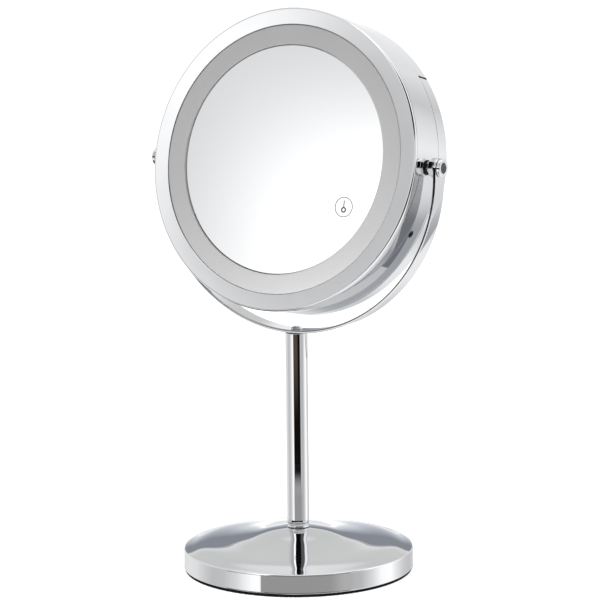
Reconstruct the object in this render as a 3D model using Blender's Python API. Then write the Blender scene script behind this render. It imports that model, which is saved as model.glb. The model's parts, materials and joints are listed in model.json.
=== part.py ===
"""Lighted vanity mirror: a tilting round head in a yoke, on a pole and a weighted round base.

Metres, +Z up. The origin is the centre of the base's underside, on the pole's axis.
The lit front mirror faces -Y and the magnifying mirror faces +Y. The head turns about
the X axis through HEAD_PIVOT_Z, and is tilted up by HEAD_TILT in the modelled pose.
"""
import math

import bmesh
import bpy
from mathutils import Matrix

# ---- driving dimensions (metres, degrees) ----
GAP = 0.0003                 # clearance between pieces that touch
MERGE = 0.000001             # distance at which coincident points merge

HEAD_PIVOT_Z = 0.2884        # height of the tilt axis
HEAD_TILT = 11.2             # the head leans back by this angle
HEAD_R = 0.105               # outer radius of the round head
HEAD_FRONT = -0.0193         # front rim plane, measured from the tilt axis
HEAD_SEAM = 0.0139           # where the front shell ends and the rear cover starts
HEAD_BACK = 0.0270           # rear rim plane
SHELL_WALL = 0.0020

MIRROR_R = 0.07925           # front mirror glass
DIFFUSER_IN = 0.0796         # frosted ring, inner radius
DIFFUSER_OUT = 0.09305       # frosted ring, visible outer radius
GLASS = 0.0030               # thickness of both mirrors

BASE_R = 0.0815              # chrome wall of the base
BASE_WALL_LOW = 0.00224      # lower edge of the chrome wall
BASE_WALL_TOP = 0.01554      # upper edge of the chrome wall
BASE_SKIN = 0.0010           # wall of the base cover
BASE_RIM_R = 0.0013          # rounding between the wall and the dome
POLE_R = 0.00783
POLE_BORE_R = 0.0068

YOKE_R = 0.1117              # inside radius of the yoke's bend
YOKE_STRIP = 0.00213         # strip thickness
YOKE_WIDTH = 0.0133          # strip width along Y
YOKE_DROP = 0.0054           # the bend's centre lies this far under the tilt axis

PIVOT_SHANK_R = 0.0021
PIVOT_HOLE_R = 0.0025

LED_COUNT = 8
LED_CIRCLE_R = 0.0860
FRAME_SCREW_ANGLES = (30, 150, 270)
FRAME_SCREW_R = 0.0980

BAYONET_ANGLES = (82.5, 202.5, 322.5)
LEDGE_SPAN = 12              # degrees, on the front shell
LUG_SPAN = 10                # degrees, on the rear cover
REAR_MIRROR_R = 0.0984
REAR_MIRROR_CURVE = 0.700    # radius of curvature of the magnifying glass

TOUCH_X = 0.0521             # touch key behind the front mirror
TOUCH_Z = -0.0306
SOCKET_ANGLE = -25.5         # power socket, degrees round the head from +X
SOCKET_Y = 0.0028
NOTCH_ANGLE = 37             # notch across the rear cover, degrees round the head
NOTCH_WIDTH = 0.0018

CELL_COUNT = 4
CELL_R = 0.00525
CELL_LENGTH = 0.0445
CELL_PITCH = 0.0120

BIG = 40                     # segments of the large turned pieces
MEDIUM = 32
SMALL = 20
TINY = 12

# name: (colour, roughness, metallic)
FINISHES = {
    "chrome": ((0.86, 0.87, 0.89), 0.05, 1.0),
    "mirror": ((0.92, 0.93, 0.94), 0.02, 1.0),
    "frosted_acrylic": ((0.72, 0.73, 0.74), 0.55, 0.0),
    "black_plastic": ((0.02, 0.02, 0.022), 0.45, 0.0),
    "white_plastic": ((0.80, 0.80, 0.78), 0.50, 0.0),
    "foam": ((0.015, 0.015, 0.016), 0.90, 0.0),
    "iron": ((0.16, 0.15, 0.15), 0.70, 1.0),
    "steel": ((0.62, 0.62, 0.63), 0.30, 1.0),
    "brass": ((0.78, 0.60, 0.28), 0.30, 1.0),
    "circuit_board": ((0.90, 0.90, 0.88), 0.45, 0.0),
    "led": ((0.95, 0.87, 0.55), 0.35, 0.0),
    "cell": ((0.10, 0.16, 0.30), 0.35, 0.6),
    "wire_red": ((0.60, 0.03, 0.03), 0.45, 0.0),
    "wire_black": ((0.03, 0.03, 0.03), 0.45, 0.0),
}

AXES = {"X": (1, 0, 0), "Y": (0, 1, 0), "Z": (0, 0, 1)}


# ---- helpers ----
def clear_scene():
    for obj in list(bpy.data.objects):
        bpy.data.objects.remove(obj, do_unlink=True)


def make_material(name, finish):
    colour, roughness, metallic = FINISHES[finish]
    material = bpy.data.materials.new(name)
    material.use_nodes = True
    shader = material.node_tree.nodes["Principled BSDF"]
    shader.inputs["Base Color"].default_value = (*colour, 1.0)
    shader.inputs["Roughness"].default_value = roughness
    shader.inputs["Metallic"].default_value = metallic
    return material


def add_object(name, bm, finish, parent=None):
    """Turn a bmesh into a named object with its own material."""
    bmesh.ops.recalc_face_normals(bm, faces=bm.faces[:])
    mesh = bpy.data.meshes.new(name)
    bm.to_mesh(mesh)
    bm.free()
    mesh.shade_smooth()
    mesh.set_sharp_from_angle(angle=math.radians(30))
    obj = bpy.data.objects.new(name, mesh)
    bpy.context.scene.collection.objects.link(obj)
    obj.data.materials.append(make_material(name + "_finish", finish))
    obj.parent = parent
    return obj


def add_empty(name, parent=None):
    empty = bpy.data.objects.new(name, None)
    bpy.context.scene.collection.objects.link(empty)
    empty.parent = parent
    return empty


def profile_point(axis, radius, height):
    """A profile's point, in the plane that the profile is turned from."""
    if axis == "X":
        return (height, radius, 0.0)
    if axis == "Y":
        return (radius, height, 0.0)
    return (radius, 0.0, height)


def turned_mesh(profile, segments, axis):
    """Turn a profile of (radius, height) points fully round an axis.

    A profile that starts on the axis also ends on it; any other one is closed into a ring.
    """
    bm = bmesh.new()
    verts = [bm.verts.new(profile_point(axis, radius, height)) for radius, height in profile]
    edges = [bm.edges.new(pair) for pair in zip(verts, verts[1:])]
    if profile[0][0] > 0:
        edges.append(bm.edges.new((verts[-1], verts[0])))
    bmesh.ops.spin(bm, geom=verts + edges, cent=(0, 0, 0), axis=AXES[axis],
                   angle=2 * math.pi, steps=segments)
    bmesh.ops.remove_doubles(bm, verts=bm.verts[:], dist=MERGE)
    return bm


def turned(name, profile, segments, axis, finish, parent=None):
    return add_object(name, turned_mesh(profile, segments, axis), finish, parent)


def rectangle(inner, outer, low, high):
    """The profile of a plain ring, or of a disc where inner is 0."""
    return [(inner, low), (outer, low), (outer, high), (inner, high)]


def corner_arc(centre_r, centre_h, radius, start, end, steps=3):
    """Points of a rounded profile corner, from one angle to another in degrees."""
    points = []
    for step in range(steps + 1):
        angle = math.radians(start + (end - start) * step / steps)
        points.append((centre_r + radius * math.cos(angle), centre_h + radius * math.sin(angle)))
    return points


def arc_block_mesh(inner, outer, low, high, centre_angle, span, steps=2):
    """A block that follows the head's round wall, closed at both ends."""
    bm = bmesh.new()
    corners = rectangle(inner, outer, low, high)
    face = bm.faces.new([bm.verts.new((radius, height, 0.0)) for radius, height in corners])
    start = math.radians(centre_angle - span / 2)
    bmesh.ops.rotate(bm, verts=bm.verts[:], cent=(0, 0, 0), matrix=turn_about_y(start))
    bmesh.ops.spin(bm, geom=[face], cent=(0, 0, 0), axis=(0, -1, 0),
                   angle=math.radians(span), steps=steps)
    return bm


def turn_about_y(angle):
    """A rotation that takes +X towards +Z by an angle in radians."""
    return Matrix.Rotation(-angle, 3, "Y")


def box_mesh(low, high):
    bm = bmesh.new()
    bmesh.ops.create_cube(bm, size=1.0)
    size = [b - a for a, b in zip(low, high)]
    middle = [(a + b) / 2 for a, b in zip(low, high)]
    bmesh.ops.scale(bm, vec=size, verts=bm.verts[:])
    bmesh.ops.translate(bm, vec=middle, verts=bm.verts[:])
    return bm


def box(name, low, high, finish, parent=None):
    return add_object(name, box_mesh(low, high), finish, parent)


def rod_mesh(axis, radius, start, end, centre=(0, 0, 0), segments=SMALL):
    bm = turned_mesh(rectangle(0, radius, start, end), segments, axis)
    bmesh.ops.translate(bm, vec=centre, verts=bm.verts[:])
    return bm


def round_head(angle, radius, y=0.0):
    """A point at an angle and radius round the head's own axis."""
    return (radius * math.cos(math.radians(angle)), y, radius * math.sin(math.radians(angle)))


def boolean(target, tool_bm, operation, label):
    """Cut a mesh from a piece, or join one to it."""
    tool = add_object(target.name + "_" + label, tool_bm, "steel", target.parent)
    tool.hide_render = True
    tool.display_type = "WIRE"
    modifier = target.modifiers.new(label, "BOOLEAN")
    modifier.operation = operation
    modifier.solver = "EXACT"
    modifier.object = tool
    return tool


def cut(target, tool_bm, label):
    return boolean(target, tool_bm, "DIFFERENCE", label)


def join(target, tool_bm, label):
    return boolean(target, tool_bm, "UNION", label)


def merged(meshes):
    """Several cutters as one mesh; they don't touch each other."""
    result = bmesh.new()
    for bm in meshes:
        mesh = bpy.data.meshes.new("part_of_cutter")
        bm.to_mesh(mesh)
        bm.free()
        result.from_mesh(mesh)
        bpy.data.meshes.remove(mesh)
    return result


def wire(name, route, radius, finish, parent):
    """A round wire with flat ends along a smooth curve through the route's points."""
    curve = bpy.data.curves.new(name, "CURVE")
    curve.dimensions = "3D"
    curve.bevel_depth = radius
    curve.bevel_resolution = 2
    curve.use_fill_caps = True
    points = smooth_route(route)
    spline = curve.splines.new("POLY")
    spline.points.add(len(points) - 1)
    for spline_point, point in zip(spline.points, points):
        spline_point.co = (*point, 1.0)
    obj = bpy.data.objects.new(name, curve)
    bpy.context.scene.collection.objects.link(obj)
    obj.data.materials.append(make_material(name + "_finish", finish))
    obj.parent = parent
    return obj


def smooth_route(route, steps=4):
    """Catmull-Rom points through a route; the ends repeat their own point."""
    padded = [route[0], *route, route[-1]]
    points = []
    for index in range(1, len(padded) - 2):
        before, start, end, after = padded[index - 1:index + 3]
        for step in range(steps):
            points.append(catmull_rom(before, start, end, after, step / steps))
    points.append(tuple(route[-1]))
    return points


def catmull_rom(before, start, end, after, t):
    return tuple(
        0.5 * (2 * b + (c - a) * t + (2 * a - 5 * b + 4 * c - d) * t ** 2
               + (3 * b - a - 3 * c + d) * t ** 3)
        for a, b, c, d in zip(before, start, end, after))


# ---- base ----
PAD_TOP = 0.0019
PLATE_LOW = PAD_TOP + GAP
PLATE_TOP = PLATE_LOW + 0.0009
WEIGHT_LOW = PLATE_TOP + GAP
WEIGHT_TOP = WEIGHT_LOW + 0.0056
WEIGHT_R = 0.0740
BOSS_R = 0.0110
BOLT_R = 0.0029
BOLT_HOLE_R = 0.0033
COUNTERBORE_R = 0.0080
COUNTERBORE_TOP = 0.0102
# radius and height of the base's upper surface, from the pole's foot to the rim
DOME = (
    (0.0084, 0.02935),
    (0.0131, 0.02880),
    (0.0180, 0.02795),
    (0.0225, 0.02690),
    (0.0284, 0.02531),
    (0.0385, 0.02343),
    (0.0508, 0.02167),
    (0.0630, 0.02026),
    (0.0712, 0.01868),
    (0.0762, 0.01707),
    (0.0790, 0.01627),
)
DOME_UNDERSIDE = ((0.0140, 0.02729), (0.0240, 0.02486), (0.0460, 0.02111))
DOME_TOP_R, DOME_TOP = DOME[0]
RIM_CENTRE_Z = 0.01457
RIM_END = 74                 # degrees at which the rim's rounding meets the dome
COVER_R = BASE_R - BASE_SKIN
PAD_INSET = 0.0009
PLATE_INSET = 0.0015


def base_pad():
    turned("base_pad", rectangle(0, BASE_R - PAD_INSET, 0, PAD_TOP), BIG, "Z", "foam")


def base_plate():
    hole_r = COUNTERBORE_R + 0.0005
    turned("base_plate", rectangle(hole_r, BASE_R - PLATE_INSET, PLATE_LOW, PLATE_TOP), BIG, "Z",
           "steel")


def base_weight():
    """A cast disc with a boss that carries the pole's bolt up to the cover."""
    boss_top = DOME_TOP - BASE_SKIN - GAP
    boss_top_r = 0.0065
    boss_foot_r = BOSS_R + 0.0030
    profile = [
        (COUNTERBORE_R, WEIGHT_LOW),
        (WEIGHT_R, WEIGHT_LOW),
        (WEIGHT_R, WEIGHT_TOP),
        (boss_foot_r, WEIGHT_TOP),
        (BOSS_R, boss_top - 0.0047),
        (boss_top_r, boss_top),
        (BOLT_HOLE_R, boss_top),
        (BOLT_HOLE_R, COUNTERBORE_TOP),
        (COUNTERBORE_R, COUNTERBORE_TOP),
    ]
    turned("base_weight", profile, MEDIUM, "Z", "iron")


def base_cover():
    """A pressed shell: wall, rounded rim, and a shallow dome that levels out at the pole."""
    outside = [(BASE_R, BASE_WALL_LOW)]
    outside += corner_arc(BASE_R - BASE_RIM_R, RIM_CENTRE_Z, BASE_RIM_R, 0, RIM_END)
    outside += reversed(DOME)
    outside += [(BOLT_HOLE_R, DOME_TOP), (BOLT_HOLE_R, DOME_TOP - BASE_SKIN)]
    inside = [(DOME_TOP_R - 0.0015, DOME_TOP - BASE_SKIN), *DOME_UNDERSIDE]
    inside += [(COVER_R, BASE_WALL_TOP - BASE_SKIN), (COVER_R, BASE_WALL_LOW)]
    turned("base_cover", outside + inside, BIG, "Z", "chrome")


def base_bolt():
    """A hexagon bolt and its washer, in the weight's counterbore, that hold the pole."""
    head_low = 0.0046
    head_top = 0.0086
    head_r = 0.0058
    shank_top = 0.0460
    hexagon = turned_mesh(rectangle(0, head_r, head_low, head_top), 6, "Z")
    bolt = add_object("base_bolt", hexagon, "steel")
    join(bolt, rod_mesh("Z", BOLT_R, head_top - 0.0010, shank_top), "shank")
    washer_r = 0.0072
    washer = rectangle(BOLT_HOLE_R, washer_r, head_top + GAP, COUNTERBORE_TOP - GAP)
    turned("base_bolt_washer", washer, SMALL, "Z", "steel")


# ---- pole ----
FOOT_RING_R = POLE_R + 0.0002
FOOT_RING_HEIGHT = 0.0030
FOOT_RING_LOW = DOME_TOP + GAP
FOOT_RING_TOP = FOOT_RING_LOW + FOOT_RING_HEIGHT
POLE_LOW = FOOT_RING_TOP + GAP
YOKE_CENTRE_Z = HEAD_PIVOT_Z - YOKE_DROP
YOKE_LOW = YOKE_CENTRE_Z - YOKE_R - YOKE_STRIP
YOKE_SEAT = YOKE_CENTRE_Z - YOKE_R
POLE_TOP = YOKE_LOW - GAP
INSERT_R = POLE_BORE_R - GAP
LOW_INSERT_LENGTH = 0.0170
TOP_INSERT_LENGTH = 0.0180
YOKE_SCREW_R = 0.0020
YOKE_SCREW_HOLE_R = 0.0024
YOKE_SCREW_LENGTH = 0.0190


def pole_foot_ring():
    turned("pole_foot_ring", rectangle(BOLT_HOLE_R, FOOT_RING_R, FOOT_RING_LOW, FOOT_RING_TOP),
           MEDIUM, "Z", "chrome")


def pole_tube():
    turned("pole_tube", rectangle(POLE_BORE_R, POLE_R, POLE_LOW, POLE_TOP), MEDIUM, "Z", "chrome")


def pole_inserts():
    """Threaded plugs in the pole's ends, for the base bolt and the yoke screw."""
    low = rectangle(BOLT_HOLE_R, INSERT_R, POLE_LOW, POLE_LOW + LOW_INSERT_LENGTH)
    turned("pole_bottom_insert", low, SMALL, "Z", "steel")
    top = rectangle(YOKE_SCREW_HOLE_R, INSERT_R, POLE_TOP - TOP_INSERT_LENGTH, POLE_TOP)
    turned("pole_top_insert", top, SMALL, "Z", "steel")


# ---- yoke ----
def yoke_path():
    """Stations along the strip from the left end to the right end.

    Each is the centre line's x and z, the outward direction's x and z, and the half width.
    """
    half_width = YOKE_WIDTH / 2
    middle_r = YOKE_R + YOKE_STRIP / 2
    end_steps = 6
    first_lift = 82          # degrees; the strip's end is rounded about the pivot
    left_end = []
    for step in range(end_steps):
        lift = math.radians(first_lift * (1 - step / (end_steps - 1)))
        height = HEAD_PIVOT_Z + half_width * math.sin(lift)
        left_end.append((-middle_r, height, -1.0, 0.0, half_width * math.cos(lift)))
    bend = []
    bend_steps = 48
    for step in range(bend_steps + 1):
        angle = math.pi + math.pi * step / bend_steps
        out_x, out_z = math.cos(angle), math.sin(angle)
        bend.append((middle_r * out_x, YOKE_CENTRE_Z + middle_r * out_z, out_x, out_z, half_width))
    right_end = [(-x, z, -out_x, out_z, half) for x, z, out_x, out_z, half in reversed(left_end)]
    return left_end + bend + right_end


def yoke():
    """A flat strip bent to a half circle, with holes for the pivots and the pole's screw."""
    bm = bmesh.new()
    loops = []
    for x, z, out_x, out_z, half in yoke_path():
        corners = []
        for side, y in ((-1, -half), (1, -half), (1, half), (-1, half)):
            offset = side * YOKE_STRIP / 2
            corners.append(bm.verts.new((x + out_x * offset, y, z + out_z * offset)))
        loops.append(corners)
    for lower, upper in zip(loops, loops[1:]):
        for index in range(4):
            after = (index + 1) % 4
            bm.faces.new((lower[index], lower[after], upper[after], upper[index]))
    bm.faces.new(loops[0])
    bm.faces.new(reversed(loops[-1]))
    strip = add_object("yoke", bm, "chrome")
    reach = YOKE_R + 2 * YOKE_STRIP
    pivot_holes = rod_mesh("X", PIVOT_HOLE_R, -reach, reach, centre=(0, 0, HEAD_PIVOT_Z))
    cut(strip, pivot_holes, "pivot_holes")
    screw_hole = rod_mesh("Z", YOKE_SCREW_HOLE_R, YOKE_LOW - 0.002, YOKE_SEAT + 0.002)
    cut(strip, screw_hole, "screw_hole")


def yoke_screw():
    seat = YOKE_SEAT + GAP
    shank_end = seat - YOKE_SCREW_LENGTH
    head_r = 0.0039
    profile = [
        (0, shank_end),
        (YOKE_SCREW_R, shank_end),
        (YOKE_SCREW_R, seat),
        (head_r, seat),
        (head_r, seat + 0.0006),
        (head_r * 0.72, seat + 0.0014),
        (0, seat + 0.0018),
    ]
    turned("yoke_screw", profile, SMALL, "Z", "chrome")


# ---- pivots, one at each side of the head; distances out from the head's centre ----
NUT_START = 0.0972
NUT_END = 0.1022
NUT_R = 0.0050
SHANK_START = 0.0978
WASHER_START = HEAD_R + 0.0004
WASHER_END = WASHER_START + 0.0007
WASHER_R = 0.0052
COLLAR_START = WASHER_END + GAP
COLLAR_END = YOKE_R - GAP
COLLAR_SIDES = 8
COLLAR_HOLE_R = PIVOT_HOLE_R + 0.0002
COLLAR_SMALL_R = 0.0056
COLLAR_LARGE_R = 0.0067
COLLAR_TAPER = 0.0015
CAP_START = YOKE_R + YOKE_STRIP + GAP
CAP_END = CAP_START + 0.0025
CAP_R = 0.0063
CAP_EDGE = 0.0006
RECESS_START = CAP_END - 0.0010
RECESS_TOP_R = 0.0039
RECESS_FLOOR_R = 0.0037
CAP_INSERT_R = 0.0034
CAP_INSERT_END = RECESS_START + 0.0007


def pivot_profile(points, sign):
    """A profile measured outwards from the head's centre, for the left or the right side."""
    return [(radius, sign * distance) for radius, distance in points]


def pivot_collar(side_name, sign):
    """A faceted spacer on the yoke."""
    profile = pivot_profile([
        (COLLAR_HOLE_R, COLLAR_START),
        (COLLAR_SMALL_R, COLLAR_START),
        (COLLAR_LARGE_R, COLLAR_START + COLLAR_TAPER),
        (COLLAR_LARGE_R, COLLAR_END),
        (COLLAR_HOLE_R, COLLAR_END),
    ], sign)
    bm = turned_mesh(profile, COLLAR_SIDES, "X")
    bmesh.ops.translate(bm, vec=(0, 0, HEAD_PIVOT_Z), verts=bm.verts[:])
    add_object("pivot_collar_" + side_name, bm, "chrome")


def pivot_screw(side_name, sign, head_pivot):
    """A shank through yoke, collar and shell, with a round cap whose face is recessed."""
    profile = pivot_profile([
        (0, SHANK_START),
        (PIVOT_SHANK_R, SHANK_START),
        (PIVOT_SHANK_R, CAP_START),
        (CAP_R, CAP_START),
        (CAP_R, CAP_END - CAP_EDGE),
        (CAP_R - CAP_EDGE, CAP_END),
        (RECESS_TOP_R, CAP_END),
        (RECESS_FLOOR_R, RECESS_START),
        (0, RECESS_START),
    ], sign)
    turned("pivot_screw_" + side_name, profile, SMALL, "X", "chrome", head_pivot)
    insert = pivot_profile(rectangle(0, CAP_INSERT_R, RECESS_START + GAP, CAP_INSERT_END), sign)
    turned("pivot_cap_insert_" + side_name, insert, SMALL, "X", "black_plastic", head_pivot)


def pivot_at(side_name, sign, head_pivot):
    pivot_collar(side_name, sign)
    washer = pivot_profile(rectangle(PIVOT_HOLE_R, WASHER_R, WASHER_START, WASHER_END), sign)
    turned("friction_washer_" + side_name, washer, SMALL, "X", "black_plastic", head_pivot)
    nut = pivot_profile(rectangle(PIVOT_HOLE_R + GAP, NUT_R, NUT_START, NUT_END), sign)
    turned("pivot_nut_" + side_name, nut, 6, "X", "brass", head_pivot)
    pivot_screw(side_name, sign, head_pivot)


# ---- front of the head ----
BEZEL_BACK = HEAD_FRONT + 0.0025
MIRROR_FRONT = HEAD_FRONT + 0.0028
MIRROR_BACK = MIRROR_FRONT + GLASS
DIFFUSER_FRONT = HEAD_FRONT + 0.0008
DIFFUSER_BACK = DIFFUSER_FRONT + 0.0035
FRAME_FRONT = -0.0106
FRAME_BACK = -0.0092
FRAME_R = 0.1010
FLANGE_FRONT = FRAME_BACK + GAP
FLANGE_BACK = FLANGE_FRONT + 0.0016
LED_BOARD_BACK = FRAME_FRONT - GAP
LED_BOARD_FRONT = LED_BOARD_BACK - 0.0011
SHELL_IN = HEAD_R - SHELL_WALL
LIP_R = 0.0014               # rounding of the head's front and rear rims
FLANGE_IN = 0.0945           # inner flange of the front shell
DIFFUSER_FLANGE_R = 0.0960
SCREW_HOLE_R = 0.0014        # tapped by the frame screws
SOCKET_HOLE_R = 0.0026
LEDGE_IN = 0.1000
LEDGE_FRONT = 0.0098
LEDGE_BACK = 0.0116
BACKING_PAD_R = 0.0500
TOUCH_SENSOR_R = 0.0070


def front_bezel(head_pivot):
    """A ring that leans slightly inwards, with a rounded rim and a skirt inside the shell."""
    inner_edge = DIFFUSER_OUT + GAP
    inner_depth = 0.0007
    skirt_out = SHELL_IN - GAP
    skirt_in = skirt_out - 0.0017
    skirt_back = BEZEL_BACK + 0.0038
    profile = [(inner_edge, BEZEL_BACK), (inner_edge, HEAD_FRONT + inner_depth)]
    profile += corner_arc(HEAD_R - LIP_R, HEAD_FRONT + LIP_R, LIP_R, -90, 0)
    profile += [
        (HEAD_R, BEZEL_BACK),
        (skirt_out, BEZEL_BACK),
        (skirt_out, skirt_back),
        (skirt_in, skirt_back),
        (skirt_in, BEZEL_BACK),
    ]
    turned("front_bezel", profile, BIG, "Y", "chrome", head_pivot)


def drum_shell(head_pivot):
    """The head's front shell, with a flange inside and ledges that hold the rear cover."""
    profile = [
        (SHELL_IN, BEZEL_BACK + GAP),
        (HEAD_R, BEZEL_BACK + GAP),
        (HEAD_R, HEAD_SEAM),
        (SHELL_IN, HEAD_SEAM),
        (SHELL_IN, FLANGE_BACK),
        (FLANGE_IN, FLANGE_BACK),
        (FLANGE_IN, FLANGE_FRONT),
        (SHELL_IN, FLANGE_FRONT),
    ]
    shell = turned("drum_shell", profile, BIG, "Y", "chrome", head_pivot)
    reach = HEAD_R + 0.0050
    cut(shell, rod_mesh("X", PIVOT_HOLE_R, -reach, reach), "pivot_holes")
    screw_holes = [rod_mesh("Y", SCREW_HOLE_R, FLANGE_FRONT - 0.001, FLANGE_BACK + 0.001,
                            centre=round_head(angle, FRAME_SCREW_R), segments=TINY)
                   for angle in FRAME_SCREW_ANGLES]
    cut(shell, merged(screw_holes), "screw_holes")
    socket_hole = rod_mesh("X", SOCKET_HOLE_R, SHELL_IN - 0.004, reach, centre=(0, SOCKET_Y, 0))
    bmesh.ops.rotate(socket_hole, verts=socket_hole.verts[:], cent=(0, 0, 0),
                     matrix=turn_about_y(math.radians(SOCKET_ANGLE)))
    cut(shell, socket_hole, "socket_hole")
    into_wall = SHELL_IN + SHELL_WALL / 2
    ledges = [arc_block_mesh(LEDGE_IN, into_wall, LEDGE_FRONT, LEDGE_BACK, angle, LEDGE_SPAN)
              for angle in BAYONET_ANGLES]
    join(shell, merged(ledges), "ledges")


def diffuser_ring(head_pivot):
    flange_front = BEZEL_BACK + GAP
    profile = [
        (DIFFUSER_IN, DIFFUSER_FRONT),
        (DIFFUSER_OUT, DIFFUSER_FRONT),
        (DIFFUSER_OUT, flange_front),
        (DIFFUSER_FLANGE_R, flange_front),
        (DIFFUSER_FLANGE_R, DIFFUSER_BACK),
        (DIFFUSER_IN, DIFFUSER_BACK),
    ]
    turned("diffuser_ring", profile, BIG, "Y", "frosted_acrylic", head_pivot)


def front_mirror(head_pivot):
    turned("front_mirror", rectangle(0, MIRROR_R, MIRROR_FRONT, MIRROR_BACK), BIG, "Y", "mirror",
           head_pivot)
    pad = rectangle(0, BACKING_PAD_R, MIRROR_BACK + GAP, MIRROR_BACK + 0.0015)
    turned("mirror_backing_pad", pad, MEDIUM, "Y", "foam", head_pivot)


def touch_sensor(head_pivot):
    bm = rod_mesh("Y", TOUCH_SENSOR_R, MIRROR_BACK + GAP, MIRROR_BACK + 0.0012,
                  centre=(TOUCH_X, 0, TOUCH_Z))
    add_object("touch_sensor", bm, "circuit_board", head_pivot)


def inner_frame(head_pivot):
    """The carrier that holds the glass, the frosted ring and the lamp board."""
    hole_r = 0.0200
    outer_wall = (0.0930, 0.0946)
    inner_wall = (0.0746, 0.0762)
    outer_top = DIFFUSER_BACK + GAP
    inner_top = MIRROR_BACK + GAP
    profile = [
        (hole_r, FRAME_BACK),
        (FRAME_R, FRAME_BACK),
        (FRAME_R, FRAME_FRONT),
        (outer_wall[1], FRAME_FRONT),
        (outer_wall[1], outer_top),
        (outer_wall[0], outer_top),
        (outer_wall[0], FRAME_FRONT),
        (inner_wall[1], FRAME_FRONT),
        (inner_wall[1], inner_top),
        (inner_wall[0], inner_top),
        (inner_wall[0], FRAME_FRONT),
        (hole_r, FRAME_FRONT),
    ]
    frame = turned("inner_frame", profile, BIG, "Y", "white_plastic", head_pivot)
    span = (FRAME_FRONT - 0.001, FRAME_BACK + 0.001)
    screw_hole_r = 0.0016
    wire_hole_r = 0.0025
    holes = [rod_mesh("Y", screw_hole_r, *span, centre=round_head(angle, FRAME_SCREW_R),
                      segments=TINY) for angle in FRAME_SCREW_ANGLES]
    for centre in ((TOUCH_X, 0, TOUCH_Z), LED_WIRE_EXIT):
        holes.append(rod_mesh("Y", wire_hole_r, *span, centre=centre, segments=TINY))
    cut(frame, merged(holes), "holes")


def frame_screws(head_pivot):
    """Pan-head screws that hold the carrier to the shell's flange."""
    head_back = FRAME_FRONT - GAP
    head_front = head_back - 0.0013
    head_r = 0.0023
    shank_r = 0.0011
    shank_end = FLANGE_BACK + 0.0020
    profile = [
        (0, head_front),
        (head_r - 0.0005, head_front),
        (head_r, head_back - 0.0006),
        (head_r, head_back),
        (shank_r, head_back),
        (shank_r, shank_end),
        (0, shank_end),
    ]
    for number, angle in enumerate(FRAME_SCREW_ANGLES, start=1):
        bm = turned_mesh(profile, TINY, "Y")
        bmesh.ops.translate(bm, vec=round_head(angle, FRAME_SCREW_R), verts=bm.verts[:])
        add_object("frame_screw_{}".format(number), bm, "steel", head_pivot)


# ---- light ----
LED_WIRE_ANGLE = -50
LED_WIRE_EXIT = round_head(LED_WIRE_ANGLE, 0.0840)
LED_BOARD_IN = 0.0785
LED_BOARD_OUT = 0.0925
LED_SIZE = (0.0028, 0.0010, 0.0035)


def led_board(head_pivot):
    board = rectangle(LED_BOARD_IN, LED_BOARD_OUT, LED_BOARD_FRONT, LED_BOARD_BACK)
    turned("led_board", board, BIG, "Y", "circuit_board", head_pivot)


def leds(head_pivot):
    """Lamps evenly round the board, behind the frosted ring."""
    back = LED_BOARD_FRONT - GAP
    width, depth, length = LED_SIZE
    for number in range(1, LED_COUNT + 1):
        angle = 360 * (number - 0.5) / LED_COUNT
        bm = box_mesh((-width / 2, back - depth, -length / 2), (width / 2, back, length / 2))
        bmesh.ops.translate(bm, vec=(LED_CIRCLE_R, 0, 0), verts=bm.verts[:])
        bmesh.ops.rotate(bm, verts=bm.verts[:], cent=(0, 0, 0),
                         matrix=turn_about_y(math.radians(angle)))
        add_object("led_{}".format(number), bm, "led", head_pivot)


# ---- electrics inside the head ----
BOARD_BACK = -0.0073
HOLDER_FRONT = -0.0050
HOLDER_BACK = 0.0090
HOLDER_HALF_X = 0.0300
HOLDER_HALF_Z = 0.0270
CELL_Y = 0.0024
BOARD_NEAR_X = 0.0380
BOARD_FAR_X = 0.0740
BOARD_HALF_Z = 0.0220
CONTACT_THICKNESS = 0.0008
CONTACT_HALF_Z = 0.0235


def control_board(head_pivot):
    box("control_board", (BOARD_NEAR_X, FRAME_BACK + GAP, -BOARD_HALF_Z),
        (BOARD_FAR_X, BOARD_BACK, BOARD_HALF_Z), "circuit_board", head_pivot)


def power_socket(head_pivot):
    """A small round socket whose mouth is flush with the shell's wall."""
    half = 0.0040
    body_start = 0.0900
    body_end = 0.1020
    bore_start = 0.0960
    nozzle_r = 0.0022
    bore_r = 0.0010
    centre = (0, SOCKET_Y, 0)
    body = box_mesh((body_start, SOCKET_Y - half, -half), (body_end, SOCKET_Y + half, half))
    turn = turn_about_y(math.radians(SOCKET_ANGLE))
    bmesh.ops.rotate(body, verts=body.verts[:], cent=(0, 0, 0), matrix=turn)
    socket = add_object("power_socket", body, "black_plastic", head_pivot)
    nozzle = rod_mesh("X", nozzle_r, body_end - 0.0010, HEAD_R - GAP, centre=centre)
    bore = rod_mesh("X", bore_r, bore_start, HEAD_R + 0.0020, centre=centre, segments=TINY)
    for bm, action, label in ((nozzle, join, "nozzle"), (bore, cut, "bore")):
        bmesh.ops.rotate(bm, verts=bm.verts[:], cent=(0, 0, 0), matrix=turn)
        action(socket, bm, label)


def battery_holder(head_pivot):
    wall = 0.0015
    holder = box("battery_holder", (-HOLDER_HALF_X, HOLDER_FRONT, -HOLDER_HALF_Z),
                 (HOLDER_HALF_X, HOLDER_BACK, HOLDER_HALF_Z), "black_plastic", head_pivot)
    pocket = box_mesh((wall - HOLDER_HALF_X, HOLDER_FRONT + wall, wall - HOLDER_HALF_Z),
                      (HOLDER_HALF_X - wall, HOLDER_BACK + wall, HOLDER_HALF_Z - wall))
    cut(holder, pocket, "pocket")


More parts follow.
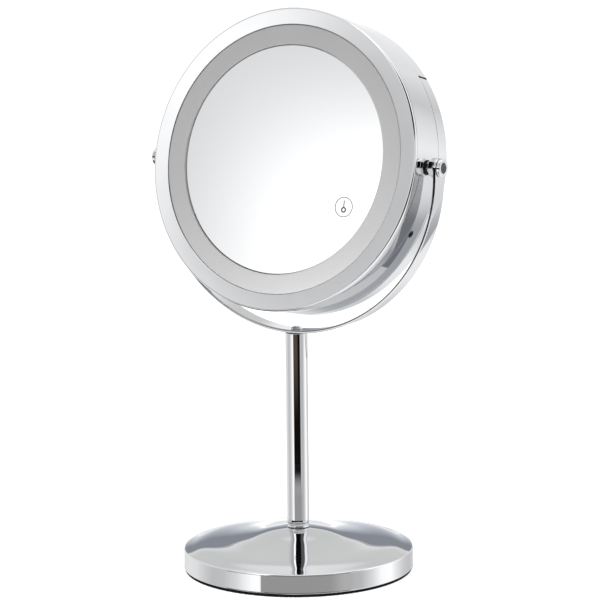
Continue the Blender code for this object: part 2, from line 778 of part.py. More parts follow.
def battery_cells(head_pivot):
    """Cells side by side, with their raised ends pointing to alternate sides."""
    end = CELL_LENGTH / 2
    shoulder = end - 0.0010
    nub_r = 0.0019
    for number in range(1, CELL_COUNT + 1):
        z = CELL_PITCH * (number - (CELL_COUNT + 1) / 2)
        sign = 1 if number % 2 else -1
        profile = [
            (0, -sign * end),
            (CELL_R, -sign * end),
            (CELL_R, sign * shoulder),
            (nub_r, sign * shoulder),
            (nub_r, sign * end),
            (0, sign * end),
        ]
        bm = turned_mesh(profile, TINY, "X")
        bmesh.ops.translate(bm, vec=(0, CELL_Y, z), verts=bm.verts[:])
        add_object("battery_cell_{}".format(number), bm, "cell", head_pivot)


def battery_contacts(head_pivot):
    near = CELL_LENGTH / 2 + 0.0040
    front = HOLDER_FRONT + 0.0020
    back = HOLDER_BACK - 0.0020
    for side_name, sign in (("left", -1), ("right", 1)):
        xs = sorted((sign * near, sign * (near + CONTACT_THICKNESS)))
        box("battery_contact_" + side_name, (xs[0], front, -CONTACT_HALF_Z),
            (xs[1], back, CONTACT_HALF_Z), "steel", head_pivot)


def wires(head_pivot):
    """Leads from the control board to the lamps, the touch key, the socket and the cells."""
    thin = 0.0006
    lead_y = BOARD_BACK + thin + GAP
    board_edge = 0.0010 - BOARD_HALF_Z
    socket_end = round_head(SOCKET_ANGLE, 0.0895, SOCKET_Y)
    led_x, _, led_z = LED_WIRE_EXIT
    wire("led_wire", [
        (led_x, LED_BOARD_BACK + GAP, led_z),
        (led_x, -0.0085, led_z),
        (led_x, lead_y, led_z + 0.0060),
        (led_x + 0.0020, lead_y + 0.0010, -0.0400),
        (led_x + 0.0040, lead_y, board_edge),
        (led_x + 0.0040, lead_y, board_edge + 0.0070),
    ], thin, "wire_red", head_pivot)
    wire("touch_wire", [
        (TOUCH_X, MIRROR_BACK + 0.0016, TOUCH_Z),
        (TOUCH_X, FRAME_BACK, TOUCH_Z),
        (TOUCH_X - 0.0010, lead_y + 0.0004, TOUCH_Z + 0.0050),
        (TOUCH_X - 0.0020, lead_y, board_edge),
        (TOUCH_X - 0.0020, lead_y, board_edge + 0.0070),
    ], thin, "wire_black", head_pivot)
    wire("socket_wire", [
        socket_end,
        (socket_end[0] - 0.0050, 0.0010, socket_end[2] + 0.0030),
        (0.0710, -0.0040, -0.0280),
        (0.0690, lead_y, board_edge),
        (0.0690, lead_y, board_edge + 0.0070),
    ], thin, "wire_black", head_pivot)
    wire("battery_wire", [
        (HOLDER_HALF_X + GAP, -0.0020, 0.0100),
        (HOLDER_HALF_X + 0.0040, -0.0030, 0.0100),
        (0.0400, lead_y, 0.0100),
        (0.0470, lead_y, 0.0100),
    ], thin, "wire_red", head_pivot)


# ---- rear cover: ring, magnifying mirror and its backing ----
REAR_LIP_R = 0.0965
REAR_POCKET_R = 0.0988
REAR_GLASS_BACK = 0.0223
GLASS_SEAT = 0.0215
SEAT_IN = 0.0955
SEAT_FRONT = 0.0202
COLLAR_IN = 0.0975
COLLAR_OUT = 0.0994
COLLAR_FRONT = 0.0080
WALL_BACK = 0.0193           # the ring is a thin wall from the seam to here
LUG_R = 0.1023
LUG_FRONT = 0.0066
LUG_BACK = 0.0093
NOTCH_DEPTH = 0.0007
NOTCH_SLOT_DEPTH = 0.0040    # through the thin wall, for prising the cover off
REAR_BACKING_R = 0.0950
REAR_BACKING_THICKNESS = 0.0010


def dish(radius):
    """How far the magnifying glass rises from its centre at a radius."""
    return REAR_MIRROR_CURVE - math.sqrt(REAR_MIRROR_CURVE ** 2 - radius ** 2)


def rear_ring(rear_cover):
    """The rear cover's ring: rounded rim, glass seat, and a collar with lugs that lock."""
    pocket_back = REAR_GLASS_BACK + GLASS + GAP
    profile = [(HEAD_R, HEAD_SEAM + GAP)]
    profile += corner_arc(HEAD_R - LIP_R, HEAD_BACK - LIP_R, LIP_R, 0, 90)
    profile += [
        (REAR_LIP_R, HEAD_BACK - 0.0005),
        (REAR_LIP_R, pocket_back),
        (REAR_POCKET_R, pocket_back),
        (REAR_POCKET_R, GLASS_SEAT),
        (SEAT_IN, GLASS_SEAT),
        (SEAT_IN, SEAT_FRONT),
        (COLLAR_IN, SEAT_FRONT),
        (COLLAR_IN, COLLAR_FRONT),
        (COLLAR_OUT, COLLAR_FRONT),
        (COLLAR_OUT, WALL_BACK),
        (SHELL_IN, WALL_BACK),
        (SHELL_IN, HEAD_SEAM + GAP),
    ]
    ring = turned("rear_ring", profile, BIG, "Y", "chrome", rear_cover)
    lugs = [arc_block_mesh(COLLAR_OUT - 0.0008, LUG_R, LUG_FRONT, LUG_BACK, angle, LUG_SPAN)
            for angle in BAYONET_ANGLES]
    join(ring, merged(lugs), "lugs")
    for depth, back, label in ((NOTCH_DEPTH, HEAD_BACK - 0.0016, "grip_notch"),
                               (NOTCH_SLOT_DEPTH, WALL_BACK - 0.0006, "prising_slot")):
        notch = box_mesh((HEAD_R - depth, HEAD_SEAM - 0.0010, -NOTCH_WIDTH / 2),
                         (HEAD_R + 0.0020, back, NOTCH_WIDTH / 2))
        bmesh.ops.rotate(notch, verts=notch.verts[:], cent=(0, 0, 0),
                         matrix=turn_about_y(math.radians(NOTCH_ANGLE)))
        cut(ring, notch, label)


def dished_disc(name, radius, edge_back, thickness, finish, parent):
    """A disc hollowed towards +Y, with its rim's inner face at edge_back."""
    rings = 3
    radii = [radius * step / rings for step in range(rings + 1)]
    low = edge_back - dish(radius)
    profile = [(r, low + dish(r)) for r in radii]
    profile += [(r, low + thickness + dish(r)) for r in reversed(radii)]
    turned(name, profile, MEDIUM, "Y", finish, parent)


def rear_mirror(rear_cover):
    dished_disc("rear_mirror", REAR_MIRROR_R, REAR_GLASS_BACK, GLASS, "mirror", rear_cover)
    rim = REAR_GLASS_BACK - dish(REAR_MIRROR_R) + dish(REAR_BACKING_R)
    dished_disc("rear_mirror_backing", REAR_BACKING_R, rim - GAP - REAR_BACKING_THICKNESS,
                REAR_BACKING_THICKNESS, "foam", rear_cover)


# ---- assembly ----
def build_stand():
    base_pad()
    base_plate()
    base_weight()
    base_cover()
    base_bolt()
    pole_foot_ring()
    pole_tube()
    pole_inserts()
    yoke()
    yoke_screw()


def build_head(head_pivot):
    front_bezel(head_pivot)
    drum_shell(head_pivot)
    diffuser_ring(head_pivot)
    front_mirror(head_pivot)
    touch_sensor(head_pivot)
    inner_frame(head_pivot)
    frame_screws(head_pivot)
    led_board(head_pivot)
    leds(head_pivot)
    control_board(head_pivot)
    power_socket(head_pivot)
    battery_holder(head_pivot)
    battery_cells(head_pivot)
    battery_contacts(head_pivot)
    wires(head_pivot)


def main():
    clear_scene()
    head_pivot = add_empty("head_pivot")
    head_pivot.location = (0, 0, HEAD_PIVOT_Z)
    head_pivot.rotation_euler = (math.radians(-HEAD_TILT), 0, 0)
    rear_cover = add_empty("rear_cover_axis", head_pivot)
    build_stand()
    build_head(head_pivot)
    pivot_at("left", -1, head_pivot)
    pivot_at("right", 1, head_pivot)
    rear_ring(rear_cover)
    rear_mirror(rear_cover)


main()
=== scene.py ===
"""Looks of the lighted vanity mirror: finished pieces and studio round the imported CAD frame.

Metres, +Z up, in the frame's own coordinates. The head is built in its own upright frame, with
its axis along Y and its centre at the origin, and then set on the tilt axis by HEAD.
"""

import json
import math

import bmesh
import bpy
from mathutils import Matrix, Vector


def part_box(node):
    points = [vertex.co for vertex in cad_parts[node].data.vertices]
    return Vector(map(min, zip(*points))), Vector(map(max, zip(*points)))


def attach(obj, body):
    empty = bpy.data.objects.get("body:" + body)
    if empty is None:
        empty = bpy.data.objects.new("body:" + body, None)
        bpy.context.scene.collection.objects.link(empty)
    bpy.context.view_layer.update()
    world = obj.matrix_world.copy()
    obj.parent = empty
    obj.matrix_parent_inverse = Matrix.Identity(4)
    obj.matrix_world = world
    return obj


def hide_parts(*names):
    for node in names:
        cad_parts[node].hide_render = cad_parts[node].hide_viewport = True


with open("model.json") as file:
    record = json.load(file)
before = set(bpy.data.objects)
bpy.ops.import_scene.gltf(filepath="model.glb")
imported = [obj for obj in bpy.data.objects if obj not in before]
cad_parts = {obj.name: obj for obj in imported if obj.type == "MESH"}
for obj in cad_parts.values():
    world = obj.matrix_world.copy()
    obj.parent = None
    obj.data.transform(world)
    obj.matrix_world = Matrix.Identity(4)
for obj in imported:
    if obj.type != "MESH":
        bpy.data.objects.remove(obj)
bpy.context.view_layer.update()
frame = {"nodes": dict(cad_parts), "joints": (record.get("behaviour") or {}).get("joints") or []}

# ---- places and sizes, from the frame ----
JOINTS = {joint["name"]: joint for joint in frame["joints"]}
PIVOT_Z = JOINTS["head_tilt"]["pos_m"][2]
TILT = math.radians(11.2)                   # the head leans back by this angle at rest
HEAD = Matrix.Translation((0, 0, PIVOT_Z)) @ Matrix.Rotation(-TILT, 4, "X")
STAND_BODY, HEAD_BODY, COVER_BODY = "stand", "mirror_head", "rear_cover"

HEAD_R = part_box("drum_shell")[1].x
HEAD_FRONT = -0.0193                        # front rim plane
HEAD_SEAM = 0.0139                          # joint line of the front shell and the rear cover
HEAD_BACK = 0.0270                          # rear rim plane
GAP = 0.0003
SHELL_IN = HEAD_R - 0.0020
BEZEL_BACK = HEAD_FRONT + 0.0025
DIFFUSER_IN, DIFFUSER_OUT = 0.0796, 0.09305
DIFFUSER_FRONT, DIFFUSER_BACK = HEAD_FRONT + 0.0008, HEAD_FRONT + 0.0043
MIRROR_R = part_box("front_mirror")[1].x
MIRROR_FRONT, MIRROR_BACK = HEAD_FRONT + 0.0028, HEAD_FRONT + 0.0058
TOUCH_X, TOUCH_Z = 0.0521, -0.0306
SOCKET_ANGLE, SOCKET_Y = -25.5, 0.0028
NOTCH_ANGLE = 37
LOCK_ANGLES = (82.5, 202.5, 322.5)
FRAME_SCREW_ANGLES, FRAME_SCREW_R = (30, 150, 270), 0.0980

BASE_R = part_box("base_cover")[1].x
WALL_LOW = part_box("base_cover")[0].z
WALL_TOP = 0.01554
POLE_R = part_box("pole_tube")[1].x
YOKE_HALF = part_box("yoke")[1].y
YOKE_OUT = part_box("yoke")[1].x
YOKE_STRIP = 0.00213
YOKE_CENTRE_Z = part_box("yoke")[0].z + YOKE_OUT
# radius and height of the base's upper surface, from the pole's foot out to the rim
DOME = ((0.0084, 0.02935), (0.0131, 0.02880), (0.0180, 0.02795), (0.0225, 0.02690),
        (0.0284, 0.02531), (0.0385, 0.02343), (0.0508, 0.02167), (0.0630, 0.02026),
        (0.0712, 0.01868), (0.0762, 0.01707), (0.0790, 0.01627))
RIM_R, RIM_CENTRE_Z, RIM_END = 0.0013, 0.01457, 74

ROUND, FINE = 256, 96                       # segments of the large and the small turned pieces


# ---- shader nodes ----
class Nodes:
    """A node tree and short ways to add to it."""

    def __init__(self, tree):
        self.tree = tree

    def plug(self, value, socket):
        """Link an output to a socket, or set the socket to a number or a colour."""
        if isinstance(value, bpy.types.NodeSocket):
            self.tree.links.new(value, socket)
        elif isinstance(value, tuple):
            socket.default_value = (*value, 1.0)
        else:
            socket.default_value = value

    def math(self, operation, first, second=0.0):
        node = self.tree.nodes.new("ShaderNodeMath")
        node.operation = operation
        self.plug(first, node.inputs[0])
        self.plug(second, node.inputs[1])
        return node.outputs["Value"]

    def remap(self, value, low, high, to_low=0.0, to_high=1.0, smooth=False):
        """A value's range carried over to another one; low above high makes it fall."""
        node = self.tree.nodes.new("ShaderNodeMapRange")
        if smooth:
            node.interpolation_type = "SMOOTHSTEP"
        for socket, number in (("From Min", low), ("From Max", high),
                               ("To Min", to_low), ("To Max", to_high)):
            node.inputs[socket].default_value = number
        self.plug(value, node.inputs["Value"])
        return node.outputs["Result"]

    def mix(self, factor, first, second):
        """Two colours, mixed by a factor."""
        node = self.tree.nodes.new("ShaderNodeMix")
        node.data_type = "RGBA"
        self.plug(factor, node.inputs["Factor"])
        self.plug(first, node.inputs[6])
        self.plug(second, node.inputs[7])
        return node.outputs[2]

    def ramp(self, value, stops):
        """A colour by value, from (position, colour) stops in rising order."""
        node = self.tree.nodes.new("ShaderNodeValToRGB")
        elements = node.color_ramp.elements
        while len(elements) > 1:
            elements.remove(elements[-1])
        for index, (where, colour) in enumerate(stops):
            element = elements[0] if index == 0 else elements.new(where)
            element.position = where
            element.color = (*colour, 1.0)
        self.plug(value, node.inputs["Fac"])
        return node.outputs["Color"]


class Look(Nodes):
    """A Principled material and short ways to add the patterns behind its sockets."""

    def __init__(self, name, colour, roughness, metallic=0.0, **sockets):
        self.material = bpy.data.materials.new(name)
        self.material.use_nodes = True
        super().__init__(self.material.node_tree)
        self.shader = self.tree.nodes["Principled BSDF"]
        self.drive("Base Color", colour)
        self.drive("Roughness", roughness)
        self.drive("Metallic", metallic)
        for socket, value in sockets.items():
            self.drive(socket.replace("_", " "), value)
        self.place = self.tree.nodes.new("ShaderNodeTexCoord").outputs["Object"]

    def stretched(self, scale):
        mapping = self.tree.nodes.new("ShaderNodeMapping")
        mapping.inputs["Scale"].default_value = scale
        self.plug(self.place, mapping.inputs["Vector"])
        return mapping.outputs["Vector"]

    def noise(self, scale, detail=2.0, stretch=None, distortion=0.0):
        noise = self.tree.nodes.new("ShaderNodeTexNoise")
        noise.inputs["Scale"].default_value = scale
        noise.inputs["Detail"].default_value = detail
        noise.inputs["Distortion"].default_value = distortion
        self.plug(self.stretched(stretch) if stretch else self.place, noise.inputs["Vector"])
        return noise.outputs["Fac"]

    def cells(self, scale):
        voronoi = self.tree.nodes.new("ShaderNodeTexVoronoi")
        voronoi.inputs["Scale"].default_value = scale
        self.plug(self.place, voronoi.inputs["Vector"])
        return voronoi.outputs["Distance"]

    def drive(self, socket, value):
        self.plug(value, self.shader.inputs[socket])

    def bump(self, height, distance, strength=1.0):
        node = self.tree.nodes.new("ShaderNodeBump")
        node.inputs["Strength"].default_value = strength
        node.inputs["Distance"].default_value = distance
        self.plug(height, node.inputs["Height"])
        self.drive("Normal", node.outputs["Normal"])


# ---- materials ----
def chrome(name, wipe):
    """Bright plated metal: faint wipe marks and smudges, and a slight waviness of the sheet."""
    look = Look(name, (0.68, 0.685, 0.695), 0.03, metallic=1.0)
    wipes = look.noise(60, 4.0, stretch=wipe, distortion=0.3)
    smudges = look.noise(28, 3.0, distortion=0.8)
    film = look.math("MULTIPLY", look.remap(wipes, 0.35, 0.75), look.remap(smudges, 0.45, 0.70))
    look.drive("Roughness", look.remap(film, 0.0, 1.0, 0.018, 0.055))
    tone = look.remap(smudges, 0.3, 0.7)
    look.drive("Base Color", look.mix(tone, (0.668, 0.673, 0.683), (0.692, 0.697, 0.706)))
    look.bump(look.noise(70, 1.0), 0.0000012)
    return look.material


def silvered_glass(name):
    """Mirror glass, with the faintest finger film."""
    look = Look(name, (0.875, 0.88, 0.885), 0.01, metallic=1.0)
    film = look.noise(22, 3.0, distortion=1.2)
    look.drive("Roughness", look.remap(film, 0.50, 0.75, 0.006, 0.030))
    dust = look.remap(look.noise(900, 1.0), 0.74, 0.80)
    look.drive("Base Color", look.mix(dust, (0.875, 0.88, 0.885), (0.85, 0.855, 0.86)))
    return look.material


def frosted_acrylic(name):
    """Satin diffuser: an even grey with a fine blasted grain."""
    look = Look(name, (0.45, 0.45, 0.45), 0.48, IOR=1.49)
    grain = look.noise(2600, 2.0)
    cloud = look.noise(18, 2.0)
    look.drive("Base Color", look.mix(look.remap(cloud, 0.3, 0.7),
                                      (0.440, 0.440, 0.440), (0.460, 0.460, 0.458)))
    look.drive("Roughness", look.remap(grain, 0.3, 0.7, 0.42, 0.55))
    look.bump(grain, 0.00001, 0.35)
    return look.material


def plastic(name, colour, roughness, grain_scale=1800):
    """Moulded plastic with a fine spark texture and light scuffs."""
    look = Look(name, colour, roughness)
    grain = look.noise(grain_scale, 2.0)
    scuffs = look.remap(look.noise(120, 4.0, stretch=(1.0, 6.0, 1.0)), 0.58, 0.72)
    lighter = tuple(min(1.0, channel * 1.25 + 0.015) for channel in colour)
    look.drive("Base Color", look.mix(scuffs, colour, lighter))
    look.drive("Roughness", look.remap(grain, 0.3, 0.7, roughness - 0.08, roughness + 0.10))
    look.bump(grain, 0.00002, 0.4)
    return look.material


def foam(name):
    """Closed-cell foam, nearly black, with its cells showing as fine pits."""
    look = Look(name, (0.005, 0.005, 0.0055), 0.9, Specular_IOR_Level=0.08)
    pits = look.cells(1400)
    look.drive("Base Color", look.mix(look.remap(pits, 0.2, 0.7), (0.003, 0.003, 0.0035),
                                      (0.009, 0.009, 0.010)))
    look.drive("Roughness", look.remap(pits, 0.0, 0.8, 0.80, 0.97))
    look.bump(pits, 0.00015, 0.6)
    return look.material


def bare_metal(name, colour, roughness, grain, rust=None):
    """Uncoated or plainly plated metal with a drawn grain, and stains if asked."""
    look = Look(name, colour, roughness, metallic=1.0)
    lines = look.noise(500, 4.0, stretch=grain)
    darker = tuple(channel * 0.72 for channel in colour)
    tone = look.mix(look.remap(lines, 0.3, 0.7), darker, colour)
    if rust:
        stain = look.remap(look.noise(90, 5.0, distortion=0.6), 0.58, 0.74)
        tone = look.mix(stain, tone, rust)
        look.drive("Metallic", look.math("SUBTRACT", 1.0, stain))
    look.drive("Base Color", tone)
    look.drive("Roughness", look.remap(lines, 0.25, 0.75, roughness - 0.08, roughness + 0.15))
    look.bump(lines, 0.00003, 0.5)
    return look.material


def circuit_board(name):
    """White solder mask over copper tracks, with a few round pads."""
    look = Look(name, (0.86, 0.86, 0.84), 0.40)
    tracks = look.tree.nodes.new("ShaderNodeTexBrick")
    tracks.inputs["Scale"].default_value = 220
    tracks.inputs["Mortar Size"].default_value = 0.06
    look.plug(look.stretched((1.0, 0.2, 1.0)), tracks.inputs["Vector"])
    pads = look.remap(look.cells(330), 0.16, 0.12)
    masked = look.mix(tracks.outputs["Fac"], (0.88, 0.88, 0.86), (0.74, 0.77, 0.72))
    look.drive("Base Color", look.mix(pads, masked, (0.72, 0.70, 0.66)))
    look.drive("Roughness", look.remap(tracks.outputs["Fac"], 0.0, 1.0, 0.42, 0.30))
    look.bump(tracks.outputs["Fac"], 0.00003, 0.6)
    return look.material


def lamp_body(name):
    """Yellow phosphor under clear resin, paler round its edge."""
    look = Look(name, (0.92, 0.82, 0.42), 0.25)
    grain = look.cells(2400)
    look.drive("Base Color", look.mix(look.remap(grain, 0.0, 0.6), (0.95, 0.80, 0.33),
                                      (0.93, 0.88, 0.62)))
    look.drive("Roughness", look.remap(grain, 0.0, 0.6, 0.18, 0.35))
    return look.material


def cell_wrap(name):
    """Shrink-wrapped cell: a dark sleeve with a metallic band at one end."""
    look = Look(name, (0.05, 0.09, 0.20), 0.30)
    along = look.tree.nodes.new("ShaderNodeSeparateXYZ")
    look.plug(look.place, along.inputs["Vector"])
    band = look.remap(along.outputs["X"], 0.0118, 0.0121)
    crinkle = look.noise(420, 3.0)
    look.drive("Base Color", look.mix(band, (0.05, 0.09, 0.20), (0.72, 0.55, 0.28)))
    look.drive("Metallic", look.math("MULTIPLY", band, 0.9))
    look.drive("Roughness", look.remap(crinkle, 0.3, 0.7, 0.22, 0.38))
    look.bump(crinkle, 0.00004, 0.3)
    return look.material


def printed_line(name):
    """Grey ink on the glass, a little uneven at its grain."""
    look = Look(name, (0.09, 0.09, 0.09), 0.5)
    grain = look.noise(1500, 2.0)
    look.drive("Base Color", look.mix(look.remap(grain, 0.3, 0.7), (0.07, 0.07, 0.07),
                                      (0.12, 0.12, 0.12)))
    look.drive("Roughness", look.remap(grain, 0.3, 0.7, 0.40, 0.60))
    return look.material


LOOKS = {
    "stand_chrome": chrome("stand_chrome_look", (1.0, 1.0, 8.0)),
    "head_chrome": chrome("head_chrome_look", (2.0, 9.0, 2.0)),
    "mirror_glass": silvered_glass("mirror_glass_look"),
    "frosted_acrylic": frosted_acrylic("frosted_acrylic_look"),
    "black_plastic": plastic("black_plastic_look", (0.016, 0.016, 0.018), 0.38),
    "white_plastic": plastic("white_plastic_look", (0.78, 0.78, 0.76), 0.45),
    "base_foam": foam("base_foam_look"),
    "mirror_foam": foam("mirror_foam_look"),
    "weight_iron": bare_metal("weight_iron_look", (0.17, 0.16, 0.155), 0.62, (1.0, 1.0, 1.0),
                              rust=(0.16, 0.07, 0.035)),
    "plain_steel": bare_metal("plain_steel_look", (0.62, 0.62, 0.63), 0.28, (1.0, 5.0, 1.0)),
    "brass_nut": bare_metal("brass_nut_look", (0.76, 0.58, 0.27), 0.28, (5.0, 1.0, 1.0)),
    "circuit_board": circuit_board("circuit_board_look"),
    "led_yellow": lamp_body("led_yellow_look"),
    "cell_wrap": cell_wrap("cell_wrap_look"),
    "red_wire": plastic("red_wire_look", (0.55, 0.02, 0.02), 0.40),
    "black_wire": plastic("black_wire_look", (0.02, 0.02, 0.02), 0.42),
}
KEY_INK = printed_line("key_ink_look")


# ---- mesh tools ----
def rounded(corners, steps=5):
    """A closed profile's points from (radius, height, fillet) corners."""
    points = []
    count = len(corners)
    for index, (x, y, fillet) in enumerate(corners):
        here = Vector((x, y))
        if fillet == 0:
            points.append((x, y))
            continue
        before = (Vector(corners[index - 1][:2]) - here).normalized()
        after = (Vector(corners[(index + 1) % count][:2]) - here).normalized()
        half = before.angle(after) / 2
        centre = here + (before + after).normalized() * fillet / math.sin(half)
        start = (here + before * fillet / math.tan(half) - centre).normalized()
        end = (here + after * fillet / math.tan(half) - centre).normalized()
        for step in range(steps + 1):
            points.append(tuple(centre + start.slerp(end, step / steps) * fillet))
    return points


def turned(profile, axis, segments):
    """A bmesh of a profile of (radius, height) points turned round Z or Y or X."""
    bm = bmesh.new()
    rings = []
    for radius, height in profile:
        if radius < 1e-9:
            rings.append([bm.verts.new(spun(0.0, height, 0.0, axis))])
            continue
        rings.append([bm.verts.new(spun(radius, height, math.tau * step / segments, axis))
                      for step in range(segments)])
    open_ended = len(rings[0]) == 1
    pairs = list(zip(rings, rings[1:])) + ([] if open_ended else [(rings[-1], rings[0])])
    for lower, upper in pairs:
        for step in range(segments):
            after = (step + 1) % segments
            quad = [lower[step % len(lower)], lower[after % len(lower)],
                    upper[after % len(upper)], upper[step % len(upper)]]
            corners = list(dict.fromkeys(quad))
            if len(corners) > 2:
                bm.faces.new(corners)
    bmesh.ops.recalc_face_normals(bm, faces=bm.faces[:])
    return bm


def spun(radius, height, angle, axis):
    across, up = radius * math.cos(angle), radius * math.sin(angle)
    if axis == "X":
        return (height, across, up)
    if axis == "Y":
        return (across, height, up)
    return (across, up, height)


def object_from(name, bm):
    mesh = bpy.data.meshes.new(name)
    bm.to_mesh(mesh)
    bm.free()
    obj = bpy.data.objects.new(name, mesh)
    bpy.context.scene.collection.objects.link(obj)
    return obj


def carve(obj, cutter_bm, operation="DIFFERENCE"):
    """Cut a closed mesh from a piece, or join one to it, and keep the result as its mesh."""
    cutter = object_from(obj.name + "_tool", cutter_bm)
    modifier = obj.modifiers.new("carve", "BOOLEAN")
    modifier.operation = operation
    modifier.solver = "EXACT"
    modifier.object = cutter
    bpy.context.view_layer.update()
    shaped = bpy.data.meshes.new_from_object(
        obj.evaluated_get(bpy.context.evaluated_depsgraph_get()))
    obj.modifiers.clear()
    spare, obj.data = obj.data, shaped
    bpy.data.meshes.remove(spare)
    bpy.data.objects.remove(cutter, do_unlink=True)


def piece(obj, slot, body, nodes=(), matrix=None, sharp=32, bevel=None, look=None):
    """Finish a piece: place, shade and paint it, and set what it rides on and stands for."""
    if matrix:
        obj.data.transform(matrix)
    obj.data.materials.clear()
    obj.data.materials.append(look or LOOKS[slot])
    obj.data.shade_smooth()
    obj.data.set_sharp_from_angle(angle=math.radians(sharp))
    if bevel:
        edge = obj.modifiers.new("edges", "BEVEL")
        edge.width = bevel
        edge.segments = 3
        edge.limit_method = "ANGLE"
        edge.angle_limit = math.radians(20)
        edge.harden_normals = True
    weighted = obj.modifiers.new("flats", "WEIGHTED_NORMAL")
    weighted.keep_sharp = True
    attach(obj, body)
    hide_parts(*nodes)
    return obj


def turned_piece(name, profile, axis, segments, slot, body, nodes=None, matrix=None, **more):
    obj = object_from(name, turned(profile, axis, segments))
    return piece(obj, slot, body, (name,) if nodes is None else nodes, matrix, **more)


def rod(axis, radius, start, end, centre=(0, 0, 0), segments=48):
    bm = turned([(0, start), (radius, start), (radius, end), (0, end)], axis, segments)
    bmesh.ops.translate(bm, vec=centre, verts=bm.verts[:])
    return bm


def turn_about_y(degrees):
    """Takes +X towards +Z."""
    return Matrix.Rotation(-math.radians(degrees), 3, "Y")


def turn(bm, degrees):
    bmesh.ops.rotate(bm, verts=bm.verts[:], cent=(0, 0, 0), matrix=turn_about_y(degrees))
    return bm


def block(low, high):
    bm = bmesh.new()
    bmesh.ops.create_cube(bm, size=1.0)
    bmesh.ops.scale(bm, vec=[b - a for a, b in zip(low, high)], verts=bm.verts[:])
    bmesh.ops.translate(bm, vec=[(a + b) / 2 for a, b in zip(low, high)], verts=bm.verts[:])
    return bm


def arc_block(inner, outer, low, high, centre, span, steps=8):
    """A block that follows the head's round wall."""
    bm = bmesh.new()
    loops = []
    for step in range(steps + 1):
        angle = math.radians(centre + span * (step / steps - 0.5))
        loops.append([bm.verts.new(spun(radius, height, angle, "Y"))
                      for radius, height in ((inner, low), (outer, low), (outer, high), (inner, high))])
    for lower, upper in zip(loops, loops[1:]):
        for index in range(4):
            after = (index + 1) % 4
            bm.faces.new((lower[index], lower[after], upper[after], upper[index]))
    bm.faces.new(loops[0])
    bm.faces.new(reversed(loops[-1]))
    bmesh.ops.recalc_face_normals(bm, faces=bm.faces[:])
    return bm


def natural_spline(stations, count):
    """Points of a smooth curve through (radius, height) stations, evenly spaced in radius."""
    xs, ys = zip(*stations)
    size = len(xs)
    gaps = [b - a for a, b in zip(xs, xs[1:])]
    slopes = [(b - a) / gap for a, b, gap in zip(ys, ys[1:], gaps)]
    right, upper = [0.0] * size, [0.0] * size
    for index in range(1, size - 1):
        pivot = 2 * (gaps[index - 1] + gaps[index]) - gaps[index - 1] * upper[index - 1]
        upper[index] = gaps[index] / pivot
        right[index] = (6 * (slopes[index] - slopes[index - 1])
                        - gaps[index - 1] * right[index - 1]) / pivot
    bends = [0.0] * size
    for index in range(size - 2, 0, -1):
        bends[index] = right[index] - upper[index] * bends[index + 1]
    points = []
    for step in range(count + 1):
        x = xs[0] + (xs[-1] - xs[0]) * step / count
        index = min(max(sum(1 for edge in xs if edge <= x) - 1, 0), size - 2)
        gap, t = gaps[index], x - xs[index]
        rise = slopes[index] - gap * (2 * bends[index] + bends[index + 1]) / 6
        points.append((x, ys[index] + rise * t + bends[index] * t * t / 2
                       + (bends[index + 1] - bends[index]) * t ** 3 / (6 * gap)))
    return points


# ---- stand ----
def base():
    pad = rounded([(0, 0, 0), (BASE_R - 0.0009, 0, 0.0004), (BASE_R - 0.0009, 0.0019, 0.0004),
                   (0, 0.0019, 0)])
    turned_piece("base_pad", pad, "Z", ROUND, "base_foam", STAND_BODY)
    skin = 0.0010
    lip = 0.0002
    wall_r = BASE_R - lip
    outside = [(wall_r, WALL_LOW), (BASE_R, WALL_LOW + lip), (BASE_R, WALL_LOW + 0.0004),
               (wall_r, WALL_LOW + 0.0009)]
    for step in range(11):
        angle = math.radians(RIM_END * step / 10)
        outside.append((wall_r - RIM_R + RIM_R * math.cos(angle),
                        RIM_CENTRE_Z + RIM_R * math.sin(angle)))
    dome = natural_spline(DOME, 72)
    outside += reversed(dome)
    hole = 0.0033
    top = DOME[0][1]
    outside += [(hole, top), (hole, top - skin)]
    inside = [(radius, height - 1.15 * skin) for radius, height in dome[4:-8:4]]
    inside += [(BASE_R - skin, WALL_TOP - skin), (BASE_R - skin, WALL_LOW)]
    turned_piece("base_cover", outside + inside, "Z", ROUND, "stand_chrome", STAND_BODY)


def pole():
    low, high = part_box("pole_foot_ring")
    waist = POLE_R - 0.0004
    ring = rounded([(0.0033, low.z, 0), (high.x, low.z, 0.0003), (high.x, low.z + 0.0010, 0.0003),
                    (waist, low.z + 0.0013, 0.0002), (POLE_R - 0.0001, high.z, 0.0001),
                    (0.0033, high.z, 0)])
    turned_piece("pole_foot_ring", ring, "Z", FINE, "stand_chrome", STAND_BODY)
    low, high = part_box("pole_tube")
    tube = rounded([(0.0068, low.z, 0), (POLE_R - 0.0003, low.z, 0.0001),
                    (POLE_R, low.z + 0.0020, 0.0020), (POLE_R, high.z, 0.0004), (0.0068, high.z, 0)])
    turned_piece("pole_tube", tube, "Z", FINE, "stand_chrome", STAND_BODY)


def yoke_section(half, edge=0.00055, steps=4):
    """Corners of the strip's rounded section: across the strip, and along Y."""
    edge = min(edge, 0.45 * half)
    thick = YOKE_STRIP / 2
    points = []
    for side, width, start in ((1, 1, 0), (-1, 1, 90), (-1, -1, 180), (1, -1, 270)):
        for step in range(steps + 1):
            angle = math.radians(start + 90 * step / steps)
            points.append((side * (thick - edge) + edge * math.cos(angle),
                           width * (half - edge) + edge * math.sin(angle)))
    return points


